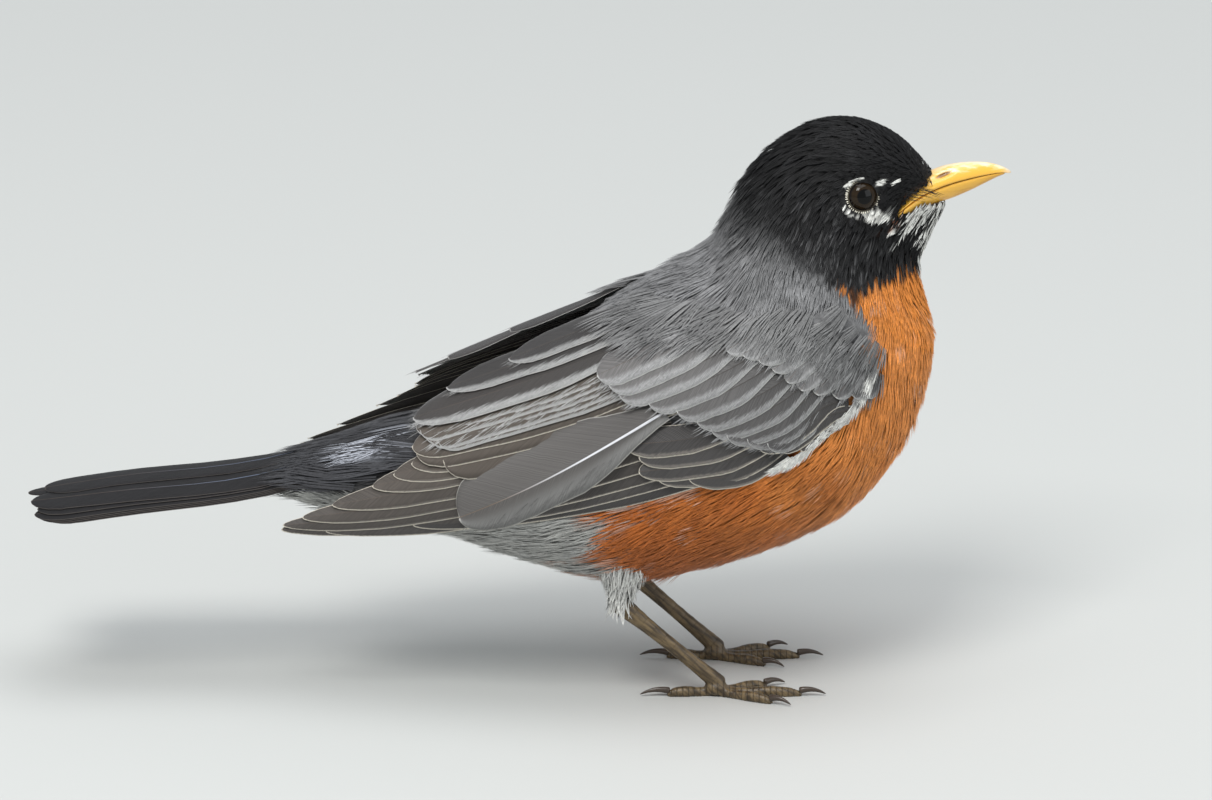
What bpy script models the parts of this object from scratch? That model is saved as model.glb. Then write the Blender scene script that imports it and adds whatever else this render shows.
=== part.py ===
"""American robin standing at rest, life size.

Metres, +Z up, +X toward the bill, -Y is the bird's right side. The origin is on the floor, under the
middle of the bird's length. Tables are in millimetres and are multiplied by MM where points are made.
"""
import math

import bmesh
import bpy
from mathutils import Vector

MM = 0.001
GAP = 0.3  # clearance between neighbouring solids

# Head, neck and trunk are one bent loft. Each station is an upright oval between a point on the back
# and a point on the belly: back x, back z, belly x, belly z, half width, lean of the width upward.
BODY_STATIONS = (
    (-59.0, 51.2, -59.0, 47.4, 4.5, 0.00),  # ends of the tail coverts
    (-44.0, 56.4, -44.0, 42.6, 13.5, 0.00),  # tail root
    (-22.0, 64.0, -22.0, 38.8, 20.8, 0.00),  # rump and vent
    (0.0, 76.0, 0.0, 31.0, 26.0, -0.05),  # hind belly
    (20.0, 90.5, 22.0, 25.6, 29.5, -0.06),  # thighs
    (33.0, 99.0, 42.0, 28.2, 31.5, -0.06),  # mantle
    (41.0, 103.4, 63.0, 35.4, 32.4, -0.06),  # shoulders
    (45.0, 107.5, 79.0, 44.8, 31.2, -0.05),  # deepest breast
    (47.6, 113.0, 90.5, 62.0, 27.4, 0.00),  # foot of the neck
    (51.0, 120.0, 95.1, 80.5, 21.8, 0.05),  # breast front
    (56.5, 127.0, 92.6, 94.5, 16.6, 0.12),  # neck
    (64.0, 132.4, 91.9, 101.2, 13.3, 0.16),  # nape and throat
    (71.5, 134.7, 93.6, 105.2, 11.5, 0.36),  # crown, through the eyes
    (79.0, 134.2, 95.0, 108.6, 9.5, 0.42),  # forehead
    (86.5, 130.6, 96.6, 112.0, 7.3, 0.40),  # lores
    (92.0, 125.2, 97.8, 114.4, 5.3, 0.30),  # feathers round the bill
    (94.3, 121.8, 98.2, 115.9, 4.2, 0.10),  # bill base
)
BODY_SIDES = 20
NECK_FOOT = 8.5  # station of the cut between trunk and neck
HEAD_FOOT = 10.3  # station of the cut between neck and head
TRUNK_RINGS = 15
NECK_RINGS = 4
HEAD_RINGS = 12

# The folded wings and the back lie on one smooth shell: x, half width, half height, centre z.
SHELL_STATIONS = (
    (-60.0, 22.8, 9.0, 43.4),
    (-40.0, 25.0, 15.0, 46.0),
    (-20.0, 27.0, 21.0, 50.0),
    (0.0, 29.5, 26.0, 55.0),
    (20.0, 32.0, 31.5, 60.0),
    (40.0, 33.8, 36.5, 64.0),
    (50.0, 33.4, 41.0, 65.5),
    (60.0, 32.3, 44.0, 69.0),
    (70.0, 29.6, 39.0, 76.5),
    (80.0, 24.0, 38.0, 76.0),
    (86.0, 18.6, 33.0, 77.0),
)

LEFT_WING_RAISE = ((-50.0, 3.4), (-20.0, 3.0), (0.0, 2.2), (15.0, 0.8), (30.0, 0.0))  # x, rise

# Wing edges are pairs of x and the angle down the side from the middle of the back, in degrees.
COVERT_FRONT = (
    (31.0, 12.0),
    (41.0, 32.0),
    (52.0, 45.5),
    (64.0, 54.5),
    (77.0, 60.5),
    (83.2, 71.5),
    (81.5, 85.5),
    (75.5, 96.0),
    (66.0, 100.5),
)
COVERT_BACK = (
    (22.0, 12.0),
    (20.5, 22.0),
    (18.4, 38.0),
    (20.0, 52.0),
    (28.0, 62.5),
    (38.0, 73.0),
    (48.0, 85.0),
    (57.0, 93.5),
)
COVERT_COLUMNS = 14
COVERT_TOP = 0.7  # how far the coverts stand over the flight feathers
WING_DEPTHS = ((28.0, 1.4), (52.0, 3.3))  # angle, depth of the wing's inner face below the shell
COVERT_ROWS = 3
COVERT_STEP = 0.5

SECONDARY_ROOTS = ((21.2, 12.0), (19.8, 22.0), (17.7, 38.0), (19.2, 52.5), (27.0, 63.5), (36.5, 74.0))
SECONDARY_TIPS = (
    (-2.0, 15.0),
    (-16.2, 16.0),
    (-23.8, 31.0),
    (-22.4, 41.5),
    (-19.0, 49.5),
    (-20.8, 55.5),
    (-16.6, 67.0),
)
SECONDARY_LIFT = 0.0
SECONDARY_THICKNESS = 1.1

PRIMARY_ROOTS = ((21.0, 57.5), (29.5, 67.0), (39.0, 77.5), (47.0, 87.0), (55.0, 95.0))
PRIMARY_TIPS = ((-24.6, 57.0), (-28.6, 60.0), (-33.6, 64.5), (-42.8, 71.5), (-51.5, 83.0), (-54.2, 93.0))
PRIMARY_LIFT = -1.9
PRIMARY_THICKNESS = 1.2
PRIMARY_BOW = 7.0  # degrees by which the lowest quill hangs below a straight line
LEFT_SPREAD = 14.0  # degrees by which the left wing's uppermost primary lies higher

FEATHER_STEP = 0.45  # each feather's lower edge stands this far over the next
NOTCH = 2.6  # depth of the notch between two feather tips
BED_CLEARANCE = 0.45  # between the wing's inner face and its bed in the body
BED_HEIGHT = 5.0  # the bed is cut open this far out past the shell
BED_AHEAD = 0.9  # how far the bed starts in front of the coverts
BED_ASIDE = 1.1  # degrees by which it is wider at its upper and lower edges
BED_END_X = -75.0
BED_END_ANGLES = (9.0, 104.0)
BED_BOW = 10.5

# One large quill of the right wing has slipped and lies across the others.
SLIPPED_ROOT = (32.0, 71.5)
SLIPPED_TIP = (-13.0, 97.5)
SLIPPED_HALF_WIDTH = 5.5
SLIPPED_LIFT = 1.45
SLIPPED_THICKNESS = 0.6

TAIL_ROOT_X = -38.0
TAIL_TIP_X = -113.9
TAIL_ROOT_Z = 51.8
TAIL_TIP_Z = 43.9
TAIL_BOW = 1.0  # the middle of the tail stands this far over a straight line
TAIL_HALF_WIDTHS = (7.0, 13.8, 14.2, 11.6)  # root to tip
TAIL_QUILLS = 6  # on each side
TAIL_ROUNDING = 5.0  # the outer quills are shorter by this
TAIL_ARCH = 1.5
TAIL_THICKNESS = 1.1
TAIL_STEP = 0.35

# x, ridge z, gape z, keel z, half width, from the root to the tip
BILL_STATIONS = (
    (86.5, 116.6, 114.8, 112.8, 7.4),
    (91.0, 120.4, 117.6, 113.6, 6.1),
    (95.0, 122.9, 119.1, 114.7, 4.7),
    (99.0, 124.2, 120.3, 116.0, 3.5),
    (103.5, 124.7, 121.3, 118.0, 2.6),
    (107.5, 124.5, 122.0, 120.1, 1.8),
    (110.8, 123.5, 122.3, 121.7, 1.0),
    (113.0, 122.3, 121.5, 121.6, 0.35),
)
LOWER_BILL_STATIONS = 7
GAPE_RECESS = 2.2  # the feathers stand back this far from the corners of the mouth

EYE_X = 77.7
EYE_Y = 8.8
EYE_Z = 119.6
EYE_RADIUS = 4.6

ANKLE = (23.2, 14.5, 23.0)
FOOT_JOINT = (45.5, 12.5, 3.4)
TARSUS_RADII = (2.3, 1.75, 1.55, 1.6, 1.9)
THIGH_TOP = (25.0, 13.5, 42.0)
THIGH_RADII = (8.6, 8.0, 6.0, 3.4, 2.6)

# toe: heading in degrees from straight ahead and outward, length, width, claw length
TOES = (
    ("hind", 176.0, 11.5, 2.5, 6.2),
    ("inner", -24.0, 13.0, 2.2, 4.6),
    ("middle", 2.0, 20.0, 2.4, 5.4),
    ("outer", 26.0, 14.5, 2.2, 4.6),
)
TOE_HEIGHT = 2.2
TOE_SIDES = 8
TOE_PADS = ((0.12, 0.9), (0.3, 0.86), (0.5, 1.0), (0.76, 0.84), (0.93, 0.86), (1.0, 0.55))  # along, plumpness
TOE_ROUNDNESS = 0.62  # the rest of the toe's height lies below its middle line
FOOT_HUB_RADIUS = 2.9
FOOT_HUB_HEIGHT = 2.75
CLAW_HEIGHT = 1.25
CLAW_RADIUS = 0.62
CLAW_TIP_RADIUS = 0.16
CLAW_ARCH = 0.75
CLAW_DROP = 1.35

SIDES = (("right", -1), ("left", 1))


def material(name, colour, roughness, metallic=0.0):
    """A plain finish."""
    made = bpy.data.materials.new(name)
    made.use_nodes = True
    shader = made.node_tree.nodes["Principled BSDF"]
    shader.inputs["Base Color"].default_value = (*colour, 1.0)
    shader.inputs["Roughness"].default_value = roughness
    shader.inputs["Metallic"].default_value = metallic
    return made


def spline(stations, key, column):
    """Value of one column of a table at a key, on a smooth curve through the table's rows."""
    keys = [row[0] for row in stations]
    values = [row[column] for row in stations]
    key = min(max(key, min(keys[0], keys[-1])), max(keys[0], keys[-1]))
    last = len(keys) - 1
    index = next((i for i in range(last) if (key - keys[i]) * (key - keys[i + 1]) <= 0.0), last - 1)

    def slope(i):
        before = max(i - 1, 0)
        after = min(i + 1, last)
        return (values[after] - values[before]) / (keys[after] - keys[before])

    span = keys[index + 1] - keys[index]
    t = (key - keys[index]) / span
    ease = t * t * (3.0 - 2.0 * t)
    start = t * (1.0 - t) ** 2 * span * slope(index)
    end = t * t * (t - 1.0) * span * slope(index + 1)
    return values[index] * (1.0 - ease) + values[index + 1] * ease + start + end


def numbered(points):
    """A table whose first column is the point's share of the way along, from 0 to 1."""
    return [(i / (len(points) - 1), *point) for i, point in enumerate(points)]


def finish_object(name, bm, finish, smooth_angle=40.0):
    """Turn a finished bmesh into a smooth-shaded object."""
    bmesh.ops.recalc_face_normals(bm, faces=bm.faces)
    if bm.calc_volume(signed=True) < 0.0:
        bmesh.ops.reverse_faces(bm, faces=bm.faces)
    mesh = bpy.data.meshes.new(name)
    bm.to_mesh(mesh)
    bm.free()
    mesh.shade_smooth()
    mesh.set_sharp_from_angle(angle=math.radians(smooth_angle))
    mesh.materials.append(finish)
    made = bpy.data.objects.new(name, mesh)
    bpy.context.collection.objects.link(made)
    return made


def loft(name, rings, finish):
    """A closed skin over rings of equal count, capped at both ends."""
    bm = bmesh.new()
    loops = []
    for ring in rings:
        points = [bm.verts.new(Vector(point) * MM) for point in ring]
        loops.append([bm.edges.new((points[i - 1], points[i])) for i in range(len(points))])
    for first, second in zip(loops, loops[1:]):
        bmesh.ops.bridge_loops(bm, edges=first + second)
    for loop in (loops[0], loops[-1]):
        bmesh.ops.contextual_create(bm, geom=loop)
    return finish_object(name, bm, finish)


def combine(target, tool, operation):
    """Cut or join the target with a tool, which is then removed."""
    modifier = target.modifiers.new(operation.title(), "BOOLEAN")
    modifier.operation = operation
    modifier.solver = "EXACT"
    modifier.object = tool
    evaluated = target.evaluated_get(bpy.context.evaluated_depsgraph_get())
    mesh = bpy.data.meshes.new_from_object(evaluated)
    target.modifiers.clear()
    target.data = mesh
    bpy.data.objects.remove(tool)


def body_ring(station, shift=0.0):
    """One oval of the bent body loft, at a fractional station, moved forward by the shift."""
    table = [(i, *row) for i, row in enumerate(BODY_STATIONS)]
    back_x, back_z, belly_x, belly_z, half_width, lean = (spline(table, station, c) for c in range(1, 7))
    centre = Vector(((back_x + belly_x) / 2.0, 0.0, (back_z + belly_z) / 2.0))
    up = Vector(((back_x - belly_x) / 2.0, 0.0, (back_z - belly_z) / 2.0))
    centre += Vector((up.z, 0.0, -up.x)).normalized() * shift
    ring = []
    for i in range(BODY_SIDES):
        turn = math.tau * i / BODY_SIDES
        width = half_width * math.sin(turn) * (1.0 + lean * math.cos(turn))
        ring.append(centre + up * math.cos(turn) + Vector((0.0, width, 0.0)))
    return ring


def body_part(name, first, last, count, finish):
    """A length of the body between two stations, starting a gap past the one behind it."""
    step = (last - first) / (count - 1)
    rings = [body_ring(first, GAP)]
    rings += [body_ring(first + i * step) for i in range(1, count)]
    return loft(name, rings, finish)


def on_shell(x, angle, lift, side):
    """A point on the shell that the folded wings follow; the left wing is held a little higher behind."""
    half_width = spline(SHELL_STATIONS, x, 1)
    half_height = spline(SHELL_STATIONS, x, 2)
    centre_z = spline(SHELL_STATIONS, x, 3)
    if side > 0:
        centre_z += spline(LEFT_WING_RAISE, x, 1)
    turn = math.radians(angle)
    normal = Vector((0.0, math.sin(turn) / half_width, math.cos(turn) / half_height)).normalized()
    point = Vector((x, half_width * math.sin(turn), centre_z + half_height * math.cos(turn)))
    point += normal * lift
    point.y *= side
    return point


def sheet(name, columns, rows, place, finish):
    """A closed sheet: a grid of points whose two faces are set by place(column, row, is_outer)."""
    bm = bmesh.new()
    bmesh.ops.create_grid(bm, x_segments=columns - 1, y_segments=rows - 1, size=0.5)
    grown = bmesh.ops.extrude_face_region(bm, geom=bm.faces[:])
    inner = {item for item in grown["geom"] if isinstance(item, bmesh.types.BMVert)}
    for vert in bm.verts:
        column = round((vert.co.x + 0.5) * (columns - 1))
        row = round((vert.co.y + 0.5) * (rows - 1))
        vert.co = place(column, row, vert not in inner) * MM
    return finish_object(name, bm, finish, 30.0)


def feather_columns(count):
    """Feather number and place across it for each column of a fan of feathers."""
    columns = [(feather, across) for feather in range(count) for across in (0.0, 0.5, 0.93)]
    columns.append((count - 1, 1.0))
    return columns


def tip_of(tips, feather, across):
    """End of a fan at a place across one feather: rounded, with a notch beside each neighbour."""
    here = Vector(tips[feather])
    before = Vector(tips[feather - 1]) if feather > 0 else here
    after = Vector(tips[feather + 1]) if feather < len(tips) - 1 else here
    towards = before if across < 0.5 else after
    aside = abs(across - 0.5) * 2.0
    edge = (here + towards) / 2.0
    edge.x = max(here.x, towards.x) + (NOTCH if towards != here else NOTCH / 2.0)
    return here.lerp(edge, aside ** 1.6)


def fan(name, side, roots, tips, rows, lift, thickness, bow, spread, finish):
    """A wing's fan of overlapping feathers, from its line of roots to the separate tips."""
    columns = feather_columns(len(tips))
    root_table = numbered(roots)

    def place(column, row, is_outer):
        feather, across = columns[column]
        share = (feather + across) / len(tips)
        root = Vector((spline(root_table, share, 1), spline(root_table, share, 2)))
        along = row / (rows - 1)
        spot = root.lerp(tip_of(tips, feather, across), along)
        spot.y += bow * share * 4.0 * along * (1.0 - along) - spread * (1.0 - share * share) * along
        raised = lift + FEATHER_STEP * (across if across < 0.95 else 0.0) if is_outer else lift - thickness
        return on_shell(spot.x, spot.y, raised, side)

    return sheet(name, len(columns), rows, place, finish)


def coverts(name, side, finish):
    """The feathers over the shoulder and the front of the wing, in overlapping rows."""
    front = numbered(COVERT_FRONT)
    back = numbered(COVERT_BACK)
    stops = [0.0]
    for row in range(COVERT_ROWS):
        stops += [(row + 0.5) / COVERT_ROWS, (row + 0.93) / COVERT_ROWS, (row + 1.0) / COVERT_ROWS]

    def place(column, row, is_outer):
        share = column / (COVERT_COLUMNS - 1)
        along = stops[row]
        start = Vector((spline(front, share, 1), spline(front, share, 2)))
        end = Vector((spline(back, share, 1), spline(back, share, 2)))
        spot = start.lerp(end, along)
        rise = math.sin(math.pi * min(0.5, 2.5 * along + 0.05))
        in_row = (along * COVERT_ROWS) % 1.0 if row < len(stops) - 1 else 0.93
        lift = COVERT_TOP * rise + COVERT_STEP * in_row
        return on_shell(spot.x, spot.y, lift if is_outer else -spline(WING_DEPTHS, spot.y, 1), side)

    return sheet(name, COVERT_COLUMNS, len(stops), place, finish)


def slipped_quill(name, side, finish):
    """The large feather that lies across the right wing."""
    columns = 5
    rows = 9

    root = Vector(SLIPPED_ROOT)
    tip = Vector(SLIPPED_TIP)

    def place(column, row, is_outer):
        along = (row / (rows - 1)) ** 0.8
        across = column / (columns - 1) * 2.0 - 1.0
        spot = root.lerp(tip, along)
        degree = (on_shell(spot.x, spot.y + 1.0, 0.0, side) - on_shell(spot.x, spot.y, 0.0, side)).length
        slope = math.atan2((tip.y - root.y) * degree, root.x - tip.x)
        width = SLIPPED_HALF_WIDTH * (0.4 + 0.6 * math.sin(math.pi * min(along * 0.9, 0.5)))
        width *= math.sqrt(max(1.0 - (max(along - 0.86, 0.0) / 0.145) ** 2, 0.04))
        spot.x += across * width * math.sin(slope)
        spot.y += across * width * math.cos(slope) / degree
        crown = 0.35 * (1.0 - across * across)
        lift = SLIPPED_LIFT + crown - (0.0 if is_outer else SLIPPED_THICKNESS)
        return on_shell(spot.x, spot.y, lift, side)

    return sheet(name, columns, rows, place, finish)


def wing_bed(name, side):
    """The space that a folded wing takes from the body, with its clearance."""
    front = numbered(COVERT_FRONT)
    rows = 12

    def place(column, row, is_outer):
        share = column / (COVERT_COLUMNS - 1)
        along = row / (rows - 1)
        start = Vector((spline(front, share, 1), spline(front, share, 2)))
        start += Vector((BED_AHEAD, BED_ASIDE * (2.0 * share - 1.0)))
        end = Vector((BED_END_X, BED_END_ANGLES[0] + (BED_END_ANGLES[1] - BED_END_ANGLES[0]) * share))
        spot = start.lerp(end, along)
        spot.y += BED_BOW * share * 4.0 * along * (1.0 - along)
        depth = spline(WING_DEPTHS, spot.y, 1) + BED_CLEARANCE
        return on_shell(spot.x, spot.y, BED_HEIGHT if is_outer else -depth, side)

    return sheet(name, COVERT_COLUMNS, rows, place, bpy.data.materials[0])


def tail(name, finish, grow=0.0):
    """Twelve folded tail quills, stepped from the middle pair outward."""
    columns = [-c for c in tail_columns()[::-1]][:-1] + tail_columns()
    rows = 6

    def place(column, row, is_outer):
        along = row / (rows - 1)
        across = columns[column]
        quill = min(int(abs(across) * TAIL_QUILLS), TAIL_QUILLS - 1)
        in_quill = abs(across) * TAIL_QUILLS - quill
        tip_x = TAIL_TIP_X + TAIL_ROUNDING * across * across + 1.3 * abs(in_quill * 2.0 - 1.0) ** 2
        x = TAIL_ROOT_X + grow + (tip_x - TAIL_ROOT_X) * along
        half_width = spline(numbered([(width,) for width in TAIL_HALF_WIDTHS]), along, 1) + grow
        z = TAIL_ROOT_Z + (TAIL_TIP_Z - TAIL_ROOT_Z) * along - TAIL_ARCH * across * across
        z += TAIL_BOW * 4.0 * along * (1.0 - along)
        step = TAIL_STEP * (in_quill if in_quill < 0.95 else 0.0)
        z += step + grow if is_outer else -TAIL_THICKNESS - grow
        return Vector((x, half_width * across, z))

    return sheet(name, len(columns), rows, place, finish)


def tail_columns():
    """Places across half the tail, from the middle outward."""
    places = []
    for quill in range(TAIL_QUILLS):
        places += [quill / TAIL_QUILLS, (quill + 0.9) / TAIL_QUILLS]
    return places + [1.0]


def bill(name, finish, is_upper, grow=0.0, flare=0.0):
    """One half of the bill: an arched loft above or below the gape line, or its seat in the head."""
    rings = []
    stations = BILL_STATIONS if is_upper else BILL_STATIONS[:LOWER_BILL_STATIONS]
    sides = 6
    for x, ridge_z, gape_z, keel_z, half_width in stations:
        edge = gape_z + (GAP / 2.0 if is_upper else -GAP / 2.0)
        far = ridge_z if is_upper else keel_z
        height = far - edge
        outward = math.copysign(grow, height)
        width = half_width * (1.0 if is_upper else 0.9) + grow + flare
        ring = []
        for i in range(sides + 1):
            turn = math.pi * i / sides
            y = width * math.cos(turn) * (1.0 - 0.22 * math.sin(turn))
            ring.append((x, y, edge + (height + outward) * math.sin(turn) ** 0.9))
        ring.append((x, -width / 2.0, edge - outward))
        ring.append((x, width / 2.0, edge - outward))
        rings.append(ring)
    return loft(name, rings, finish)


def eye(name, side, finish, radius):
    """An eyeball, turned so that its axis points sideways."""
    bm = bmesh.new()
    bmesh.ops.create_uvsphere(bm, u_segments=12, v_segments=8, radius=radius * MM)
    made = finish_object(name, bm, finish)
    made.rotation_euler = (math.radians(90.0), 0.0, 0.0)
    made.location = Vector((EYE_X, EYE_Y * side, EYE_Z)) * MM
    return made


def limb(name, start, end, radii, sides, side, finish, grow=0.0):
    """A round limb between two points, whose radius follows a short list."""
    first = Vector((start[0], start[1] * side, start[2]))
    last = Vector((end[0], end[1] * side, end[2]))
    axis = (last - first).normalized()
    across = axis.cross(Vector((0.0, 1.0, 0.0))).normalized()
    beside = axis.cross(across)
    rings = []
    for i, radius in enumerate(radii):
        centre = first.lerp(last, i / (len(radii) - 1))
        ring = []
        for k in range(sides):
            turn = math.tau * k / sides
            ring.append(centre + (across * math.cos(turn) + beside * math.sin(turn)) * (radius + grow))
        rings.append(ring)
    return loft(name, rings, finish)


def toe_frame(heading, side):
    """Direction along a toe and across it, on the floor."""
    turn = math.radians(heading)
    ahead = Vector((math.cos(turn), math.sin(turn) * side, 0.0))
    return ahead, Vector((-ahead.y, ahead.x, 0.0))


def toe(name, heading, length, width, side, finish):
    """A toe with a flat sole on the floor and low pads."""
    ahead, aside = toe_frame(heading, side)
    start = Vector((FOOT_JOINT[0], FOOT_JOINT[1] * side, 0.0))
    rings = []
    for along, plump in TOE_PADS:
        ring = []
        for i in range(TOE_SIDES):
            turn = math.tau * (i + 0.5) / TOE_SIDES
            across = math.cos(turn) * width / 2.0 * plump
            share = math.sin(turn) * TOE_ROUNDNESS + 1.0 - TOE_ROUNDNESS
            height = max(share, 0.0) * TOE_HEIGHT * plump
            ring.append(start + ahead * (length * along) + aside * across + Vector((0.0, 0.0, height)))
        rings.append(ring)
    return loft(name, rings, finish)


def foot(name, side, finish):
    """Four toes joined to a low hub, with the end of the leg let in from above."""
    bm = bmesh.new()
    bmesh.ops.create_cone(bm, cap_ends=True, segments=12, radius1=FOOT_HUB_RADIUS * MM,
                          radius2=FOOT_HUB_RADIUS * 0.8 * MM, depth=FOOT_HUB_HEIGHT * MM)
    centre = Vector((FOOT_JOINT[0], FOOT_JOINT[1] * side, FOOT_HUB_HEIGHT / 2.0 + GAP))
    bmesh.ops.translate(bm, verts=bm.verts, vec=centre * MM)
    made = finish_object(name, bm, finish)
    for toe_name, heading, length, width, _claw in TOES:
        combine(made, toe(toe_name, heading, length, width, side, finish), "UNION")
    leg = limb("cut", ANKLE, FOOT_JOINT, TARSUS_RADII, 10, side, finish, GAP)
    combine(made, leg, "DIFFERENCE")
    return made


def claw(name, side, heading, toe_length, length, finish):
    """A curved claw that starts just off the toe's end and comes down to the floor."""
    ahead, aside = toe_frame(heading, side)
    start = Vector((FOOT_JOINT[0], FOOT_JOINT[1] * side, CLAW_HEIGHT)) + ahead * (toe_length + GAP)
    rings = []
    steps = 4
    for i in range(steps + 1):
        along = i / steps
        arch = CLAW_ARCH * math.sin(math.pi * along * 0.62) - CLAW_DROP * along * along
        centre = start + ahead * (length * along) + Vector((0.0, 0.0, arch))
        radius = CLAW_RADIUS * (1.0 - along) ** 0.75 + CLAW_TIP_RADIUS
        ring = []
        for k in range(6):
            turn = math.tau * k / 6
            ring.append(centre + aside * math.cos(turn) * radius + Vector((0.0, 0.0, math.sin(turn) * radius)))
        rings.append(ring)
    return loft(name, rings, finish)


def build():
    """Make every node of the bird."""
    for old in list(bpy.data.objects):
        bpy.data.objects.remove(old)

    black = material("head_black", (0.018, 0.018, 0.020), 0.75)
    grey = material("back_grey", (0.16, 0.16, 0.165), 0.75)
    orange = material("breast_orange", (0.52, 0.17, 0.045), 0.8)
    slate = material("quill_slate", (0.085, 0.080, 0.078), 0.6)
    tail_dark = material("tail_dark", (0.032, 0.032, 0.036), 0.55)
    white = material("belly_white", (0.62, 0.60, 0.56), 0.85)
    yellow = material("bill_yellow", (0.80, 0.43, 0.08), 0.35)
    eye_dark = material("eye_dark", (0.012, 0.008, 0.006), 0.05)
    leg_brown = material("leg_brown", (0.17, 0.10, 0.05), 0.5)
    claw_dark = material("claw_dark", (0.05, 0.035, 0.025), 0.35)

    trunk = body_part("trunk", 0.0, NECK_FOOT, TRUNK_RINGS, orange)
    neck = body_part("neck", NECK_FOOT, HEAD_FOOT, NECK_RINGS, grey)
    head = body_part("head", HEAD_FOOT, len(BODY_STATIONS) - 1.0, HEAD_RINGS, black)

    bill("bill_upper", yellow, True)
    bill("bill_lower", yellow, False)
    for is_upper in (True, False):
        combine(head, bill("cut", yellow, is_upper, GAP, GAPE_RECESS), "DIFFERENCE")

    tail("tail", tail_dark)
    combine(trunk, tail("cut", tail_dark, GAP), "DIFFERENCE")

    for side_name, side in SIDES:
        eye(f"eye_{side_name}", side, eye_dark, EYE_RADIUS)
        combine(head, eye("cut", side, eye_dark, EYE_RADIUS + GAP), "DIFFERENCE")

        combine(trunk, wing_bed("cut", side), "DIFFERENCE")
        combine(neck, wing_bed("cut", side), "DIFFERENCE")
        coverts(f"wing_{side_name}_coverts", side, grey)
        fan(f"wing_{side_name}_secondaries", side, SECONDARY_ROOTS, SECONDARY_TIPS, 6,
            SECONDARY_LIFT, SECONDARY_THICKNESS, 0.0, 0.0, slate)
        spread = LEFT_SPREAD if side > 0 else 0.0
        fan(f"wing_{side_name}_primaries", side, PRIMARY_ROOTS, PRIMARY_TIPS, 9,
            PRIMARY_LIFT, PRIMARY_THICKNESS, PRIMARY_BOW, spread, slate)

        thigh = limb(f"thigh_{side_name}", THIGH_TOP, ANKLE, THIGH_RADII, 12, side, white)
        combine(thigh, limb("cut", ANKLE, FOOT_JOINT, TARSUS_RADII, 10, side, leg_brown, GAP), "DIFFERENCE")
        combine(trunk, limb("cut", THIGH_TOP, ANKLE, THIGH_RADII, 12, side, white, GAP), "DIFFERENCE")
        limb(f"tarsus_{side_name}", ANKLE, FOOT_JOINT, TARSUS_RADII, 10, side, leg_brown)
        foot(f"foot_{side_name}", side, leg_brown)
        for toe_name, heading, toe_length, _width, claw_length in TOES:
            claw(f"claw_{side_name}_{toe_name}", side, heading, toe_length, claw_length, claw_dark)

    slipped_quill("wing_right_slipped_quill", -1, slate)


build()
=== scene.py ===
"""Looks of a standing American robin, life size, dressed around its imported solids.

Metres, +Z up, +X toward the bill; -Y is the bird's right side. Sizes in the classes below are in
millimetres and are multiplied by MM where a mesh is made. Angles are in degrees.
"""
from __future__ import annotations

import logging
import math
from collections.abc import Callable
from dataclasses import dataclass, field, replace
from enum import Enum, IntEnum

import bmesh
import bpy
import numpy as np
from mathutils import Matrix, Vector
from mathutils.bvhtree import BVHTree
from mathutils.kdtree import KDTree


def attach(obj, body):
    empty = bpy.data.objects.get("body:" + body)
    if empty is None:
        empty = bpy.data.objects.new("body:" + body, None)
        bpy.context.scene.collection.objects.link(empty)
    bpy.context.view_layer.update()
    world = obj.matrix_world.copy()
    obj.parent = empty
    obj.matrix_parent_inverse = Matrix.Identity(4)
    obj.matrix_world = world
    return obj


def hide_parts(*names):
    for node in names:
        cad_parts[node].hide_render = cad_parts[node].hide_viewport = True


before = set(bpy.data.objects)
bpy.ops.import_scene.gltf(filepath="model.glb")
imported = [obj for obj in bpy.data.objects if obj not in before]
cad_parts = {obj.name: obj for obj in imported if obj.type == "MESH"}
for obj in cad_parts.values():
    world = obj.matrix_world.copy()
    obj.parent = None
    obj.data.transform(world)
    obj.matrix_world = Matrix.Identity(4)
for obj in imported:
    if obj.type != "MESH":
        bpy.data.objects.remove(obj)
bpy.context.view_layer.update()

MM = 0.001
LOG = logging.getLogger("robin")
SCATTER_TRIES = 60000

Array = np.ndarray
Piece = bpy.types.Object
Material = bpy.types.Material
Socket = bpy.types.NodeSocket
Draws = np.random.Generator
Row = tuple[float, ...]
Table = tuple[Row, ...]


# ---- numbers


def unit(vectors: Array) -> Array:
    """Vectors scaled to length one."""
    return vectors / np.maximum(np.linalg.norm(vectors, axis=-1, keepdims=True), 1e-9)


def ramp(low: float, high: float, value: Array) -> Array:
    """Smooth step from 0 at low to 1 at high."""
    share = np.clip((value - low) / (high - low), 0, 1)
    return share * share * (3 - 2 * share)


def blend(first: Array, second: Array, share: Array) -> Array:
    """Colours mixed by a share for each row."""
    return first + (second - first) * share[..., None]


def curve(table: Table, at: Array) -> Array:
    """Columns of a table on a smooth curve through its rows.

    Args:
        table: rows of a rising key and one or more values.
        at: keys to read, of any shape.

    Returns:
        The values, on one more axis than the keys.
    """
    rows = np.array(table, float)
    keys, values = rows[:, 0], rows[:, 1:]
    count = len(keys)
    before = np.maximum(np.arange(count) - 1, 0)
    after = np.minimum(np.arange(count) + 1, count - 1)
    slopes = (values[after] - values[before]) / (keys[after] - keys[before])[:, None]
    at = np.clip(np.asarray(at, float), keys[0], keys[-1])
    index = np.clip(np.searchsorted(keys, at, side="right") - 1, 0, count - 2)
    span = (keys[index + 1] - keys[index])[..., None]
    t = (at - keys[index])[..., None] / span
    ease = t * t * (3 - 2 * t)
    start = t * (1 - t) ** 2 * span * slopes[index]
    end = t * t * (t - 1) * span * slopes[index + 1]
    return values[index] * (1 - ease) + values[index + 1] * ease + start + end


def numbered(points: Table) -> Table:
    """A table of points whose first column is each point's share of the way along."""
    last = len(points) - 1
    return tuple((i / last, *point) for i, point in enumerate(points))


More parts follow.
